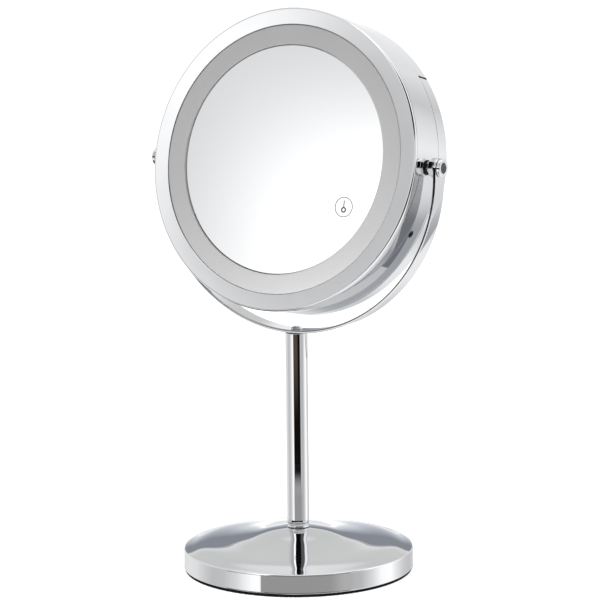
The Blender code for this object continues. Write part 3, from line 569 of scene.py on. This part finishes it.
def yoke():
    middle = YOKE_OUT - YOKE_STRIP / 2
    end_steps, bend_steps = 14, 180
    stations = []
    for step in range(end_steps):
        lift = math.radians(84 - 84 * step / (end_steps - 1))
        stations.append((-middle, PIVOT_Z + YOKE_HALF * math.sin(lift), -1.0, 0.0,
                         YOKE_HALF * math.cos(lift)))
    for step in range(bend_steps + 1):
        angle = math.pi * (1 + step / bend_steps)
        out_x, out_z = math.cos(angle), math.sin(angle)
        stations.append((middle * out_x, YOKE_CENTRE_Z + middle * out_z, out_x, out_z, YOKE_HALF))
    stations += [(-x, z, -out_x, out_z, half)
                 for x, z, out_x, out_z, half in reversed(stations[:end_steps])]
    bm = bmesh.new()
    loops = [[bm.verts.new((x + out_x * across, along, z + out_z * across))
              for across, along in yoke_section(half)]
             for x, z, out_x, out_z, half in stations]
    for lower, upper in zip(loops, loops[1:]):
        for index in range(len(lower)):
            after = (index + 1) % len(lower)
            bm.faces.new((lower[index], lower[after], upper[after], upper[index]))
    bm.faces.new(loops[0])
    bm.faces.new(reversed(loops[-1]))
    bmesh.ops.recalc_face_normals(bm, faces=bm.faces[:])
    strip = object_from("yoke", bm)
    carve(strip, rod("X", 0.0025, -0.12, 0.12, (0, 0, PIVOT_Z)))
    carve(strip, rod("Z", 0.0024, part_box("yoke")[0].z - 0.002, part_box("yoke")[0].z + 0.004))
    piece(strip, "stand_chrome", STAND_BODY, ("yoke",))


def yoke_screw():
    low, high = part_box("yoke_screw")
    seat = high.z - 0.0018
    profile = [(0, low.z), (0.0020, low.z), (0.0020, seat), (high.x - 0.0002, seat),
               (high.x, seat + 0.0002), (high.x, seat + 0.0005)]
    for step in range(1, 11):
        angle = math.radians(90 * step / 10)
        profile.append((high.x * math.cos(angle), seat + 0.0005 + 0.0013 * math.sin(angle)))
    profile[-1] = (0, high.z)
    screw = object_from("yoke_screw", turned(profile, "Z", 64))
    slot_half, slot_long, slot_deep = 0.00035, 0.0021, 0.0011
    for x, y in ((slot_long, slot_half), (slot_half, slot_long)):
        carve(screw, block((-x, -y, high.z - slot_deep), (x, y, high.z + 0.001)))
    piece(screw, "stand_chrome", STAND_BODY, ("yoke_screw",))


def side_piece(name, side, bm, slot, body, **more):
    """Finish one of a pair that is drawn on the right and mirrored across X for the left."""
    full_name = f"{name}_{side}"
    obj = object_from(full_name, bm)
    sign = -1 if side == "left" else 1
    if sign < 0:
        obj.data.flip_normals()
    to_side = Matrix.Translation((0, 0, PIVOT_Z)) @ Matrix.Scale(sign, 4, (1, 0, 0))
    piece(obj, slot, body, (full_name,), to_side, **more)


def pivots():
    """Collar, washer, capped screw and cap insert at each side of the head."""
    collar_in, collar_out, collar_r, collar_bore = 0.1064, 0.1114, 0.0067, 0.0027
    washer_in, washer_out, washer_r, washer_bore = 0.1054, 0.1061, 0.0052, 0.0025
    screw_in, screw_r = 0.0978, 0.0021
    cap_in, cap_out, cap_r = 0.11413, 0.11663, 0.0063
    seat, seat_r, mouth_r = 0.11563, 0.0037, 0.0039
    insert_in, insert_edge, insert_out, insert_r = 0.11593, 0.11623, 0.11633, 0.0034
    for side in ("left", "right"):
        collar = [(collar_bore, collar_in), (0.0056, collar_in), (collar_r, collar_in + 0.0015),
                  (collar_r, collar_out), (collar_bore, collar_out)]
        side_piece("pivot_collar", side, turned(collar, "X", 8), "stand_chrome", STAND_BODY,
                   bevel=0.00025)
        washer = rounded([(washer_bore, washer_in, 0), (washer_r, washer_in, 0.0002),
                          (washer_r, washer_out, 0.0002), (washer_bore, washer_out, 0)])
        side_piece("friction_washer", side, turned(washer, "X", 64), "black_plastic", HEAD_BODY)
        cap = rounded([(0, screw_in, 0), (screw_r, screw_in, 0.0003), (screw_r, cap_in, 0),
                       (cap_r, cap_in, 0.0003), (cap_r, cap_out, 0.0007),
                       (mouth_r, cap_out, 0.0003), (seat_r, seat, 0), (0, seat, 0)])
        side_piece("pivot_screw", side, turned(cap, "X", FINE), "stand_chrome", HEAD_BODY)
        insert = rounded([(0, insert_in, 0), (insert_r, insert_in, 0),
                          (insert_r, insert_edge, 0.0001), (0.0022, insert_out, 0),
                          (0, insert_out, 0)])
        side_piece("pivot_cap_insert", side, turned(insert, "X", 64), "black_plastic", HEAD_BODY)


# ---- head ----
def front_bezel():
    skirt_out = SHELL_IN - GAP
    profile = rounded([
        (DIFFUSER_OUT + GAP, BEZEL_BACK, 0),
        (DIFFUSER_OUT + GAP, HEAD_FRONT + 0.0007, 0.0003),
        (HEAD_R, HEAD_FRONT, 0.0013),
        (HEAD_R, BEZEL_BACK, 0.0001),
        (skirt_out, BEZEL_BACK, 0),
        (skirt_out, BEZEL_BACK + 0.0038, 0.0002),
        (skirt_out - 0.0017, BEZEL_BACK + 0.0038, 0.0002),
        (skirt_out - 0.0017, BEZEL_BACK, 0),
    ], steps=8)
    turned_piece("front_bezel", profile, "Y", ROUND, "head_chrome", HEAD_BODY, matrix=HEAD)


def drum_shell():
    flange_front, flange_back = -0.0089, -0.0073
    near = 0.0045
    profile = rounded([
        (SHELL_IN, BEZEL_BACK + GAP, 0), (HEAD_R, BEZEL_BACK + GAP, 0.0002),
        (HEAD_R, SOCKET_Y - near, 0), (HEAD_R, SOCKET_Y + near, 0),
        (HEAD_R, HEAD_SEAM, 0.0003), (SHELL_IN, HEAD_SEAM, 0.0001),
        (SHELL_IN, flange_back, 0), (0.0945, flange_back, 0.0002),
        (0.0945, flange_front, 0.0002), (SHELL_IN, flange_front, 0),
    ])
    shell = object_from("drum_shell", turned(profile, "Y", ROUND))
    reach = HEAD_R + 0.005
    carve(shell, rod("X", 0.0025, -reach, reach))
    for angle in FRAME_SCREW_ANGLES:
        centre = spun(FRAME_SCREW_R, 0.0, math.radians(angle), "Y")
        carve(shell, rod("Y", 0.0014, flange_front - 0.001, flange_back + 0.001, centre, 24))
    carve(shell, turn(rod("X", 0.0026, SHELL_IN - 0.004, reach, (0, SOCKET_Y, 0)), SOCKET_ANGLE))
    for angle in LOCK_ANGLES:
        carve(shell, arc_block(0.1000, SHELL_IN + 0.0008, 0.0098, 0.0116, angle, 12), "UNION")
    piece(shell, "head_chrome", HEAD_BODY, ("drum_shell",), HEAD)


def diffuser_ring():
    flange_front = BEZEL_BACK + GAP
    crown = 0.00018
    middle = (DIFFUSER_IN + DIFFUSER_OUT) / 2
    front = []
    for step in range(9):
        radius = DIFFUSER_IN + 0.0004 + (DIFFUSER_OUT - DIFFUSER_IN - 0.0008) * step / 8
        sag = crown * ((radius - middle) / (middle - DIFFUSER_IN)) ** 2
        front.append((radius, DIFFUSER_FRONT + sag, 0))
    profile = rounded([
        (DIFFUSER_IN, DIFFUSER_FRONT + 0.0004, 0.0001), *front,
        (DIFFUSER_OUT, DIFFUSER_FRONT + 0.0004, 0.0001), (DIFFUSER_OUT, flange_front, 0),
        (0.0960, flange_front, 0.0002), (0.0960, DIFFUSER_BACK, 0.0002),
        (DIFFUSER_IN, DIFFUSER_BACK, 0.0002),
    ])
    turned_piece("diffuser_ring", profile, "Y", ROUND, "frosted_acrylic", HEAD_BODY, matrix=HEAD,
                 sharp=50)


def front_mirror():
    arris = 0.0004
    profile = [(0, MIRROR_FRONT), (MIRROR_R - arris, MIRROR_FRONT),
               (MIRROR_R, MIRROR_FRONT + arris), (MIRROR_R, MIRROR_BACK - arris),
               (MIRROR_R - arris, MIRROR_BACK), (0, MIRROR_BACK)]
    turned_piece("front_mirror", profile, "Y", ROUND, "mirror_glass", HEAD_BODY, matrix=HEAD,
                 sharp=20)


def touch_key():
    """The printed key on the glass: a circle round a small stem and bulb."""
    face, ink = MIRROR_FRONT - 0.00001, 0.00004
    centre = Matrix.Translation((TOUCH_X, 0, TOUCH_Z))

    def line_ring(radius, width):
        return turned([(radius - width / 2, face - ink), (radius + width / 2, face - ink),
                       (radius + width / 2, face), (radius - width / 2, face)], "Y", 96)

    rings = (("touch_key_circle", 0.00665, 0.00055, (0, 0, 0)),
             ("touch_key_bulb", 0.00150, 0.00110, (0, 0, -0.0019)))
    for name, radius, width, shift in rings:
        bm = line_ring(radius, width)
        bmesh.ops.translate(bm, vec=shift, verts=bm.verts[:])
        piece(object_from(name, bm), "circuit_board", HEAD_BODY, (), HEAD @ centre, look=KEY_INK)
    half, low, high = 0.00036, -0.00012, 0.0042
    bm = bmesh.new()
    outline = [(half * math.cos(math.radians(a)), high + half * math.sin(math.radians(a)))
               for a in range(0, 181, 20)]
    outline += [(-half, low), (half, low)]
    front = [bm.verts.new((x, face - ink, z)) for x, z in outline]
    back = [bm.verts.new((x, face, z)) for x, z in outline]
    bm.faces.new(front)
    bm.faces.new(reversed(back))
    for index in range(len(outline)):
        after = (index + 1) % len(outline)
        bm.faces.new((front[index], back[index], back[after], front[after]))
    bmesh.ops.recalc_face_normals(bm, faces=bm.faces[:])
    piece(object_from("touch_key_stem", bm), "circuit_board", HEAD_BODY, (), HEAD @ centre,
          look=KEY_INK)


def power_socket():
    half = 0.0040
    body = block((0.0900, SOCKET_Y - half, -half), (0.1012, SOCKET_Y + half, half))
    bmesh.ops.bevel(body, geom=body.edges[:], offset=0.0004, segments=2, affect="EDGES")
    socket = object_from("power_socket", body)
    mouth = HEAD_R - 0.0003
    nozzle = turned(rounded([(0, 0.1005, 0), (0.0022, 0.1005, 0), (0.0022, mouth, 0.0003),
                             (0, mouth, 0)]), "X", 48)
    bmesh.ops.translate(nozzle, vec=(0, SOCKET_Y, 0), verts=nozzle.verts[:])
    carve(socket, nozzle, "UNION")
    carve(socket, rod("X", 0.0013, 0.0960, HEAD_R + 0.002, (0, SOCKET_Y, 0)))
    pin = turned(rounded([(0, 0.0958, 0), (0.0004, 0.0958, 0), (0.0004, mouth - 0.0006, 0.0002),
                          (0, mouth - 0.0006, 0)]), "X", 24)
    bmesh.ops.translate(pin, vec=(0, SOCKET_Y, 0), verts=pin.verts[:])
    placed = HEAD @ turn_about_y(SOCKET_ANGLE).to_4x4()
    piece(socket, "black_plastic", HEAD_BODY, ("power_socket",), placed)
    piece(object_from("power_socket_pin", pin), "plain_steel", HEAD_BODY, (), placed)


def rear_ring():
    lip_in, pocket, ledge, collar_low = 0.0965, 0.0988, 0.0215, 0.0080
    profile = rounded([
        (HEAD_R, HEAD_SEAM + GAP, 0.0003), (HEAD_R, HEAD_BACK - 0.0030, 0),
        (HEAD_R, HEAD_BACK, 0.0014),
        (lip_in, HEAD_BACK - 0.0005, 0.0003), (lip_in, 0.0256, 0.0001), (pocket, 0.0256, 0),
        (pocket, ledge, 0), (0.0955, ledge, 0.0001), (0.0955, 0.0202, 0.0001),
        (0.0975, 0.0202, 0), (0.0975, collar_low, 0.0002), (0.0994, collar_low, 0.0002),
        (0.0994, 0.0193, 0), (SHELL_IN, 0.0193, 0), (SHELL_IN, HEAD_SEAM + GAP, 0.0001),
    ], steps=8)
    ring = object_from("rear_ring", turned(profile, "Y", ROUND))
    for angle in LOCK_ANGLES:
        carve(ring, arc_block(0.0986, 0.1023, 0.0066, 0.0093, angle, 10), "UNION")
    notch_half, notch_deep = 0.0009, 0.0040
    for depth, back in ((0.0007, HEAD_BACK - 0.0016), (notch_deep, 0.0187)):
        notch = block((HEAD_R - depth, HEAD_SEAM - 0.001, -notch_half),
                      (HEAD_R + 0.0020, back, notch_half))
        carve(ring, turn(notch, NOTCH_ANGLE))
    piece(ring, "head_chrome", COVER_BODY, ("rear_ring",), HEAD)
    ring.data.materials.append(LOOKS["black_plastic"])
    # the notch's own faces, which lie inside the ring's skin, get the black plastic as painted shade in
    # the slot
    to_notch = turn_about_y(-NOTCH_ANGLE).to_4x4() @ HEAD.inverted()
    near = notch_half + 0.00005
    for face in ring.data.polygons:
        x, y, z = to_notch @ face.center
        inside = HEAD_R - notch_deep - 0.0001 < x < HEAD_R - 0.0002
        if inside and abs(z) < near and y < HEAD_BACK - 0.001:
            face.material_index = 1


def rear_mirror():
    radius, curve, edge_back, glass, arris = 0.0984, 0.700, 0.0223, 0.0030, 0.0004

    def dish(r):
        return curve - math.sqrt(curve ** 2 - r ** 2)

    low = edge_back - dish(radius)
    radii = [(radius - arris) * step / 40 for step in range(41)]
    profile = [(r, low + dish(r)) for r in radii]
    profile += [(radius, edge_back + arris), (radius, edge_back + glass - arris)]
    profile += [(r, low + glass + dish(r)) for r in reversed(radii)]
    turned_piece("rear_mirror", profile, "Y", ROUND, "mirror_glass", COVER_BODY, matrix=HEAD,
                 sharp=20)


def carried_nodes():
    """Paint the CAD nodes that stay as they are, by the record's slot names."""
    for name, obj in frame["nodes"].items():
        for index, material in enumerate(obj.data.materials):
            slot = material.name.split(".")[0]
            if slot in LOOKS and not obj.hide_render:
                obj.data.materials[index] = LOOKS[slot]


# ---- studio ----
VIEW_AZIMUTH = math.radians(31.5236)        # the camera stands this far round from -Y towards +X


SKY_STRENGTH = 1.265                        # of the sky, and of the screen that goes with it


class Sky(Nodes):
    """Studio seen by reflections, by angle round from the camera's side and height, in degrees."""

    def __init__(self, world):
        world.use_nodes = True
        super().__init__(world.node_tree)
        self.background = self.tree.nodes["Background"]
        place = self.tree.nodes.new("ShaderNodeTexCoord").outputs["Generated"]
        near = (math.sin(VIEW_AZIMUTH), -math.cos(VIEW_AZIMUTH), 0.0)
        right = (math.cos(VIEW_AZIMUTH), math.sin(VIEW_AZIMUTH), 0.0)
        to_degrees = 180 / math.pi
        round_angle = self.math("ARCTAN2", self.dot(place, right), self.dot(place, near))
        self.round = self.math("MULTIPLY", round_angle, to_degrees)
        self.away = self.math("ABSOLUTE", self.round)
        height = self.math("ARCSINE", self.dot(place, (0, 0, 1)))
        self.height = self.math("MULTIPLY", height, to_degrees)
        self.colour = None

    def dot(self, vector, constant):
        node = self.tree.nodes.new("ShaderNodeVectorMath")
        node.operation = "DOT_PRODUCT"
        self.plug(vector, node.inputs[0])
        node.inputs[1].default_value = constant
        return node.outputs["Value"]

    def step(self, value, start, end):
        return self.remap(value, start, end, smooth=True)

    def ring(self, stops):
        """Brightness all round, from (angle, brightness) stops."""
        turned_to = self.math("ADD", self.math("DIVIDE", self.round, 360.0), 0.5)
        return self.ramp(turned_to, [(angle / 360 + 0.5, (level, level, level * 1.01))
                                     for angle, level in stops])

    def panel(self, colour, heights, rounds=None, aways=None):
        """Lay a soft-edged panel over the sky; each edge is a (start, end) pair of angles."""
        mask = self.math("MULTIPLY", self.step(self.height, *heights[0]),
                         self.step(self.height, *heights[1]))
        for value, edges in ((self.round, rounds or ()), (self.away, aways or ())):
            for start, end in edges:
                mask = self.math("MULTIPLY", mask, self.step(value, start, end))
        self.colour = self.mix(mask, self.colour, colour)


LOW_RING = ((-180, 0.66), (-160, 0.70), (-140, 0.82), (-125, 0.82), (-110, 0.70), (-96, 0.58),
            (-80, 0.60), (-64, 0.78), (-56, 0.96), (-48, 1.12), (-40, 1.18), (-34, 0.62),
            (41, 0.60), (52, 0.50), (64, 0.53), (78, 0.78), (90, 1.10), (105, 1.15),
            (114, 0.90), (128, 0.66), (144, 0.56), (160, 0.56), (180, 0.66))
HIGH_RING = ((-180, 0.80), (-120, 0.80), (-78, 0.60), (-66, 0.60), (0, 0.70), (60, 0.80),
             (100, 1.10), (118, 1.08), (125, 0.87), (134, 0.62), (147, 0.80), (160, 0.80),
             (170, 0.80), (180, 0.85))
TABLE_RING = ((-180, 0.90), (-60, 0.95), (60, 0.95), (112, 1.15), (120, 1.10), (124, 0.70),
              (134, 0.92), (150, 0.86), (165, 0.62), (175, 0.60), (180, 0.85))
HALL = (0.006, 0.005, 0.0045)               # the unlit room round the camera


def studio_light():
    """Surroundings that the chrome mirrors: a pale room, dark on the camera's side, and lamps."""
    world = bpy.data.worlds.new("studio")
    bpy.context.scene.world = world
    sky = Sky(world)
    above = sky.mix(sky.step(sky.height, -6, 2), sky.ring(LOW_RING), sky.ring(HIGH_RING))
    sky.colour = sky.mix(sky.step(sky.height, -16, -28), above, sky.ring(TABLE_RING))
    # the far wall's upper part, and the ceiling right above
    sky.panel((0.62, 0.625, 0.62), ((17, 24), (48, 38)), aways=((150, 165),))
    sky.panel((1.15, 1.15, 1.15), ((50, 66), (95, 91)))
    # lit panel at the front left, fading outwards and upwards
    sky.panel((1.19, 1.19, 1.19), ((4, 9), (18.5, 12.6)), rounds=((-68.2, -61.2), (-49.4, -50.6)))
    # the dark room: its deep middle, and a lower and wider part near the horizon
    sky.panel(HALL, ((-13.4, -12.7), (9, 5)), rounds=((-34.6, -33.4), (37, 31)))
    sky.panel(HALL, ((-8.6, -7.6), (9, 6.5)), rounds=((-78, -72), (54, 48)))
    # its ceiling, dark in the middle, between two lamps
    sky.panel((0.13, 0.135, 0.14), ((22, 27), (58, 50)), rounds=((28, 31), (80, 72)))
    sky.panel(HALL, ((22, 27), (62, 52)), rounds=((-34.6, -33.4), (33, 29)))
    sky.panel((1.80, 1.80, 1.80), ((24, 30), (56, 50)), rounds=((-58, -54), (-33.5, -34.6)))
    sky.panel((1.25, 1.28, 1.32), ((22, 27), (58, 50)), rounds=((76, 82), (122, 112)))
    # a slightly lighter strip low in the dark room
    sky.panel((0.085, 0.066, 0.052), ((-11.6, -9.6), (-6.5, -8.0)),
              rounds=((-34.6, -33.4), (14, 4)))
    # the table's near edge, and its shaded part at the left
    sky.panel((0.34, 0.335, 0.33), ((-24, -22), (-12.7, -13.4)), rounds=((-38.6, -37.6), (60, 27)))
    sky.panel(HALL, ((-80, -74), (-34, -40)), rounds=((-170, -155), (-52, -64)))
    sky.plug(sky.colour, sky.background.inputs["Color"])
    sky.plug(SKY_STRENGTH, sky.background.inputs["Strength"])


class Glow(Nodes):
    """A surface that only gives light, and that can fade out in places."""

    def __init__(self, name, strength, colour=(1.0, 1.0, 1.0)):
        self.material = bpy.data.materials.new(name)
        self.material.use_nodes = True
        super().__init__(self.material.node_tree)
        self.shader = self.tree.nodes["Principled BSDF"]
        for socket, value in (("Base Color", (0.0, 0.0, 0.0)), ("Specular IOR Level", 0.0),
                              ("Emission Color", colour), ("Emission Strength", strength)):
            self.plug(value, self.shader.inputs[socket])

    def across_and_up(self):
        """The surface's own X and Z."""
        split = self.tree.nodes.new("ShaderNodeSeparateXYZ")
        place = self.tree.nodes.new("ShaderNodeTexCoord").outputs["Object"]
        self.plug(place, split.inputs["Vector"])
        return split.outputs["X"], split.outputs["Z"]

    def fade(self, alpha, *masks):
        """Show as much of the surface as the product of these leaves."""
        for mask in masks:
            alpha = self.math("MULTIPLY", alpha, mask)
        self.plug(alpha, self.shader.inputs["Alpha"])


def stage_card(name, bm, glow, place, turned_by=0.0):
    """A card that only reflections show."""
    card = object_from(name, bm)
    card.data.materials.append(glow.material)
    card.rotation_euler = (0, 0, turned_by)
    card.location = place
    card.visible_camera = False
    card.visible_diffuse = False
    card.visible_shadow = False


def screen_behind():
    """A slate-grey screen behind the object, pale at its foot and with a thin pale line."""
    away, top, half_width = 0.60, 0.246, 0.42
    glow = Glow("screen_look", SKY_STRENGTH)
    across, up = glow.across_and_up()
    side = glow.math("ABSOLUTE", across)
    glow.fade(glow.remap(side, half_width, 0.24, smooth=True),
              glow.remap(up, 0.0, 0.02, smooth=True))
    pale_middle = glow.remap(side, 0.045, 0.105, 0.035, 0.0, smooth=True)
    shades = ((0.0, (1.0, 1.01, 1.03)), (0.035, (0.66, 0.68, 0.715)),
              (0.085, (0.50, 0.525, 0.57)), (0.160, (0.245, 0.26, 0.295)),
              (0.2365, (0.250, 0.262, 0.29)), (0.2375, (0.50, 0.51, 0.54)),
              (0.2415, (0.50, 0.51, 0.54)), (0.2425, (0.31, 0.32, 0.34)))
    glow.plug(glow.ramp(glow.math("SUBTRACT", up, pale_middle), shades),
              glow.shader.inputs["Emission Color"])
    bm = bmesh.new()
    corners = ((-half_width, 0.0), (half_width, 0.0), (half_width, top), (-half_width, top))
    bm.faces.new([bm.verts.new((x, 0.0, z)) for x, z in corners])
    place = (-away * math.sin(VIEW_AZIMUTH), away * math.cos(VIEW_AZIMUTH), 0)
    stage_card("screen_behind", bm, glow, place, VIEW_AZIMUTH)


def flag_behind():
    """A dim curved card that darkens the reflections in the head's lower right side wall.

    The yoke's own reflection in that wall falls 9 to 12 mm in front of the dark band wanted there.
    The card shows on its inner side only, and a little of it shows in the yoke too.
    """
    radius, front, back = 0.113, -0.0085, 0.0080
    first, last, steps = 6, -126, 66
    bm = bmesh.new()
    rims = []
    for step in range(steps + 1):
        angle = math.radians(first + (last - first) * step / steps)
        rims.append([bm.verts.new(spun(radius, along, angle, "Y")) for along in (front, back)])
    for before, after in zip(rims, rims[1:]):
        bm.faces.new((before[0], before[1], after[1], after[0]))
    glow = Glow("flag_look", 1.0, (0.46, 0.475, 0.50))
    across, up = glow.across_and_up()
    backfacing = glow.tree.nodes.new("ShaderNodeNewGeometry").outputs["Backfacing"]
    glow.fade(glow.math("SUBTRACT", 1.0, backfacing),
              glow.remap(across, -0.075, -0.010, smooth=True),
              glow.remap(up, 0.008, -0.046, smooth=True))
    stage_card("flag_behind", bm, glow, (0.022, 0.060, PIVOT_Z - 0.034))


def area_light(name, place, target, size, power):
    """A large soft lamp that chrome doesn't mirror."""
    lamp = bpy.data.lights.new(name, "AREA")
    lamp.shape = "DISK"
    lamp.size = size
    lamp.energy = power
    obj = bpy.data.objects.new(name, lamp)
    obj.location = place
    obj.rotation_euler = (Vector(target) - Vector(place)).to_track_quat("-Z", "Y").to_euler()
    obj.visible_glossy = False
    bpy.context.scene.collection.objects.link(obj)


def studio_floor():
    look = Look("floor_look", (0.55, 0.55, 0.55), 0.9)
    look.drive("Base Color", look.mix(look.noise(3.0), (0.545, 0.545, 0.545),
                                      (0.555, 0.555, 0.555)))
    look.drive("Emission Color", (1.0, 1.0, 1.0))
    look.drive("Emission Strength", 0.62)
    bm = bmesh.new()
    bmesh.ops.create_circle(bm, cap_ends=True, segments=96, radius=40.0)
    floor = object_from("floor", bm)
    floor.location.z = -0.00005
    floor.data.materials.append(look.material)
    bm = bmesh.new()
    bmesh.ops.create_icosphere(bm, subdivisions=4, radius=38.0)
    bmesh.ops.reverse_faces(bm, faces=bm.faces[:])
    backdrop = object_from("backdrop", bm)
    backdrop.data.materials.append(Glow("backdrop_look", 1.05).material)
    for obj in (floor, backdrop):
        obj.visible_glossy = False
        obj.visible_diffuse = False
        obj.visible_transmission = False
    backdrop.visible_shadow = False


def camera():
    data = bpy.data.cameras.new("camera")
    data.sensor_width = 36.0
    data.lens = 134.193
    data.shift_x = 0.0066
    data.clip_start, data.clip_end = 0.05, 200.0
    distance, height, target_z, roll = 1.5492, 0.41853, 0.191716, math.radians(-0.586)
    obj = bpy.data.objects.new("camera", data)
    place = Vector((distance * math.sin(VIEW_AZIMUTH), -distance * math.cos(VIEW_AZIMUTH), height))
    forward = (Vector((0, 0, target_z)) - place).normalized()
    level = forward.cross(Vector((0, 0, 1))).normalized()
    upright = level.cross(forward)
    right = level * math.cos(roll) + upright * math.sin(roll)
    up = upright * math.cos(roll) - level * math.sin(roll)
    axes = Matrix((right, up, -forward)).transposed()
    obj.matrix_world = Matrix.Translation(place) @ axes.to_4x4()
    bpy.context.scene.collection.objects.link(obj)
    bpy.context.scene.camera = obj


def main():
    base()
    pole()
    yoke()
    yoke_screw()
    pivots()
    front_bezel()
    drum_shell()
    diffuser_ring()
    front_mirror()
    touch_key()
    power_socket()
    rear_ring()
    rear_mirror()
    carried_nodes()
    studio_light()
    studio_floor()
    screen_behind()
    flag_behind()
    area_light("overhead", (0.0, 0.3, 2.6), (0, 0, 0), 2.2, 20)
    area_light("low_front_right", (0.07, -0.20, 0.09), (0.03, -0.03, 0.22), 0.14, 0.6)
    camera()
    bpy.context.scene.view_settings.view_transform = "Standard"


main()
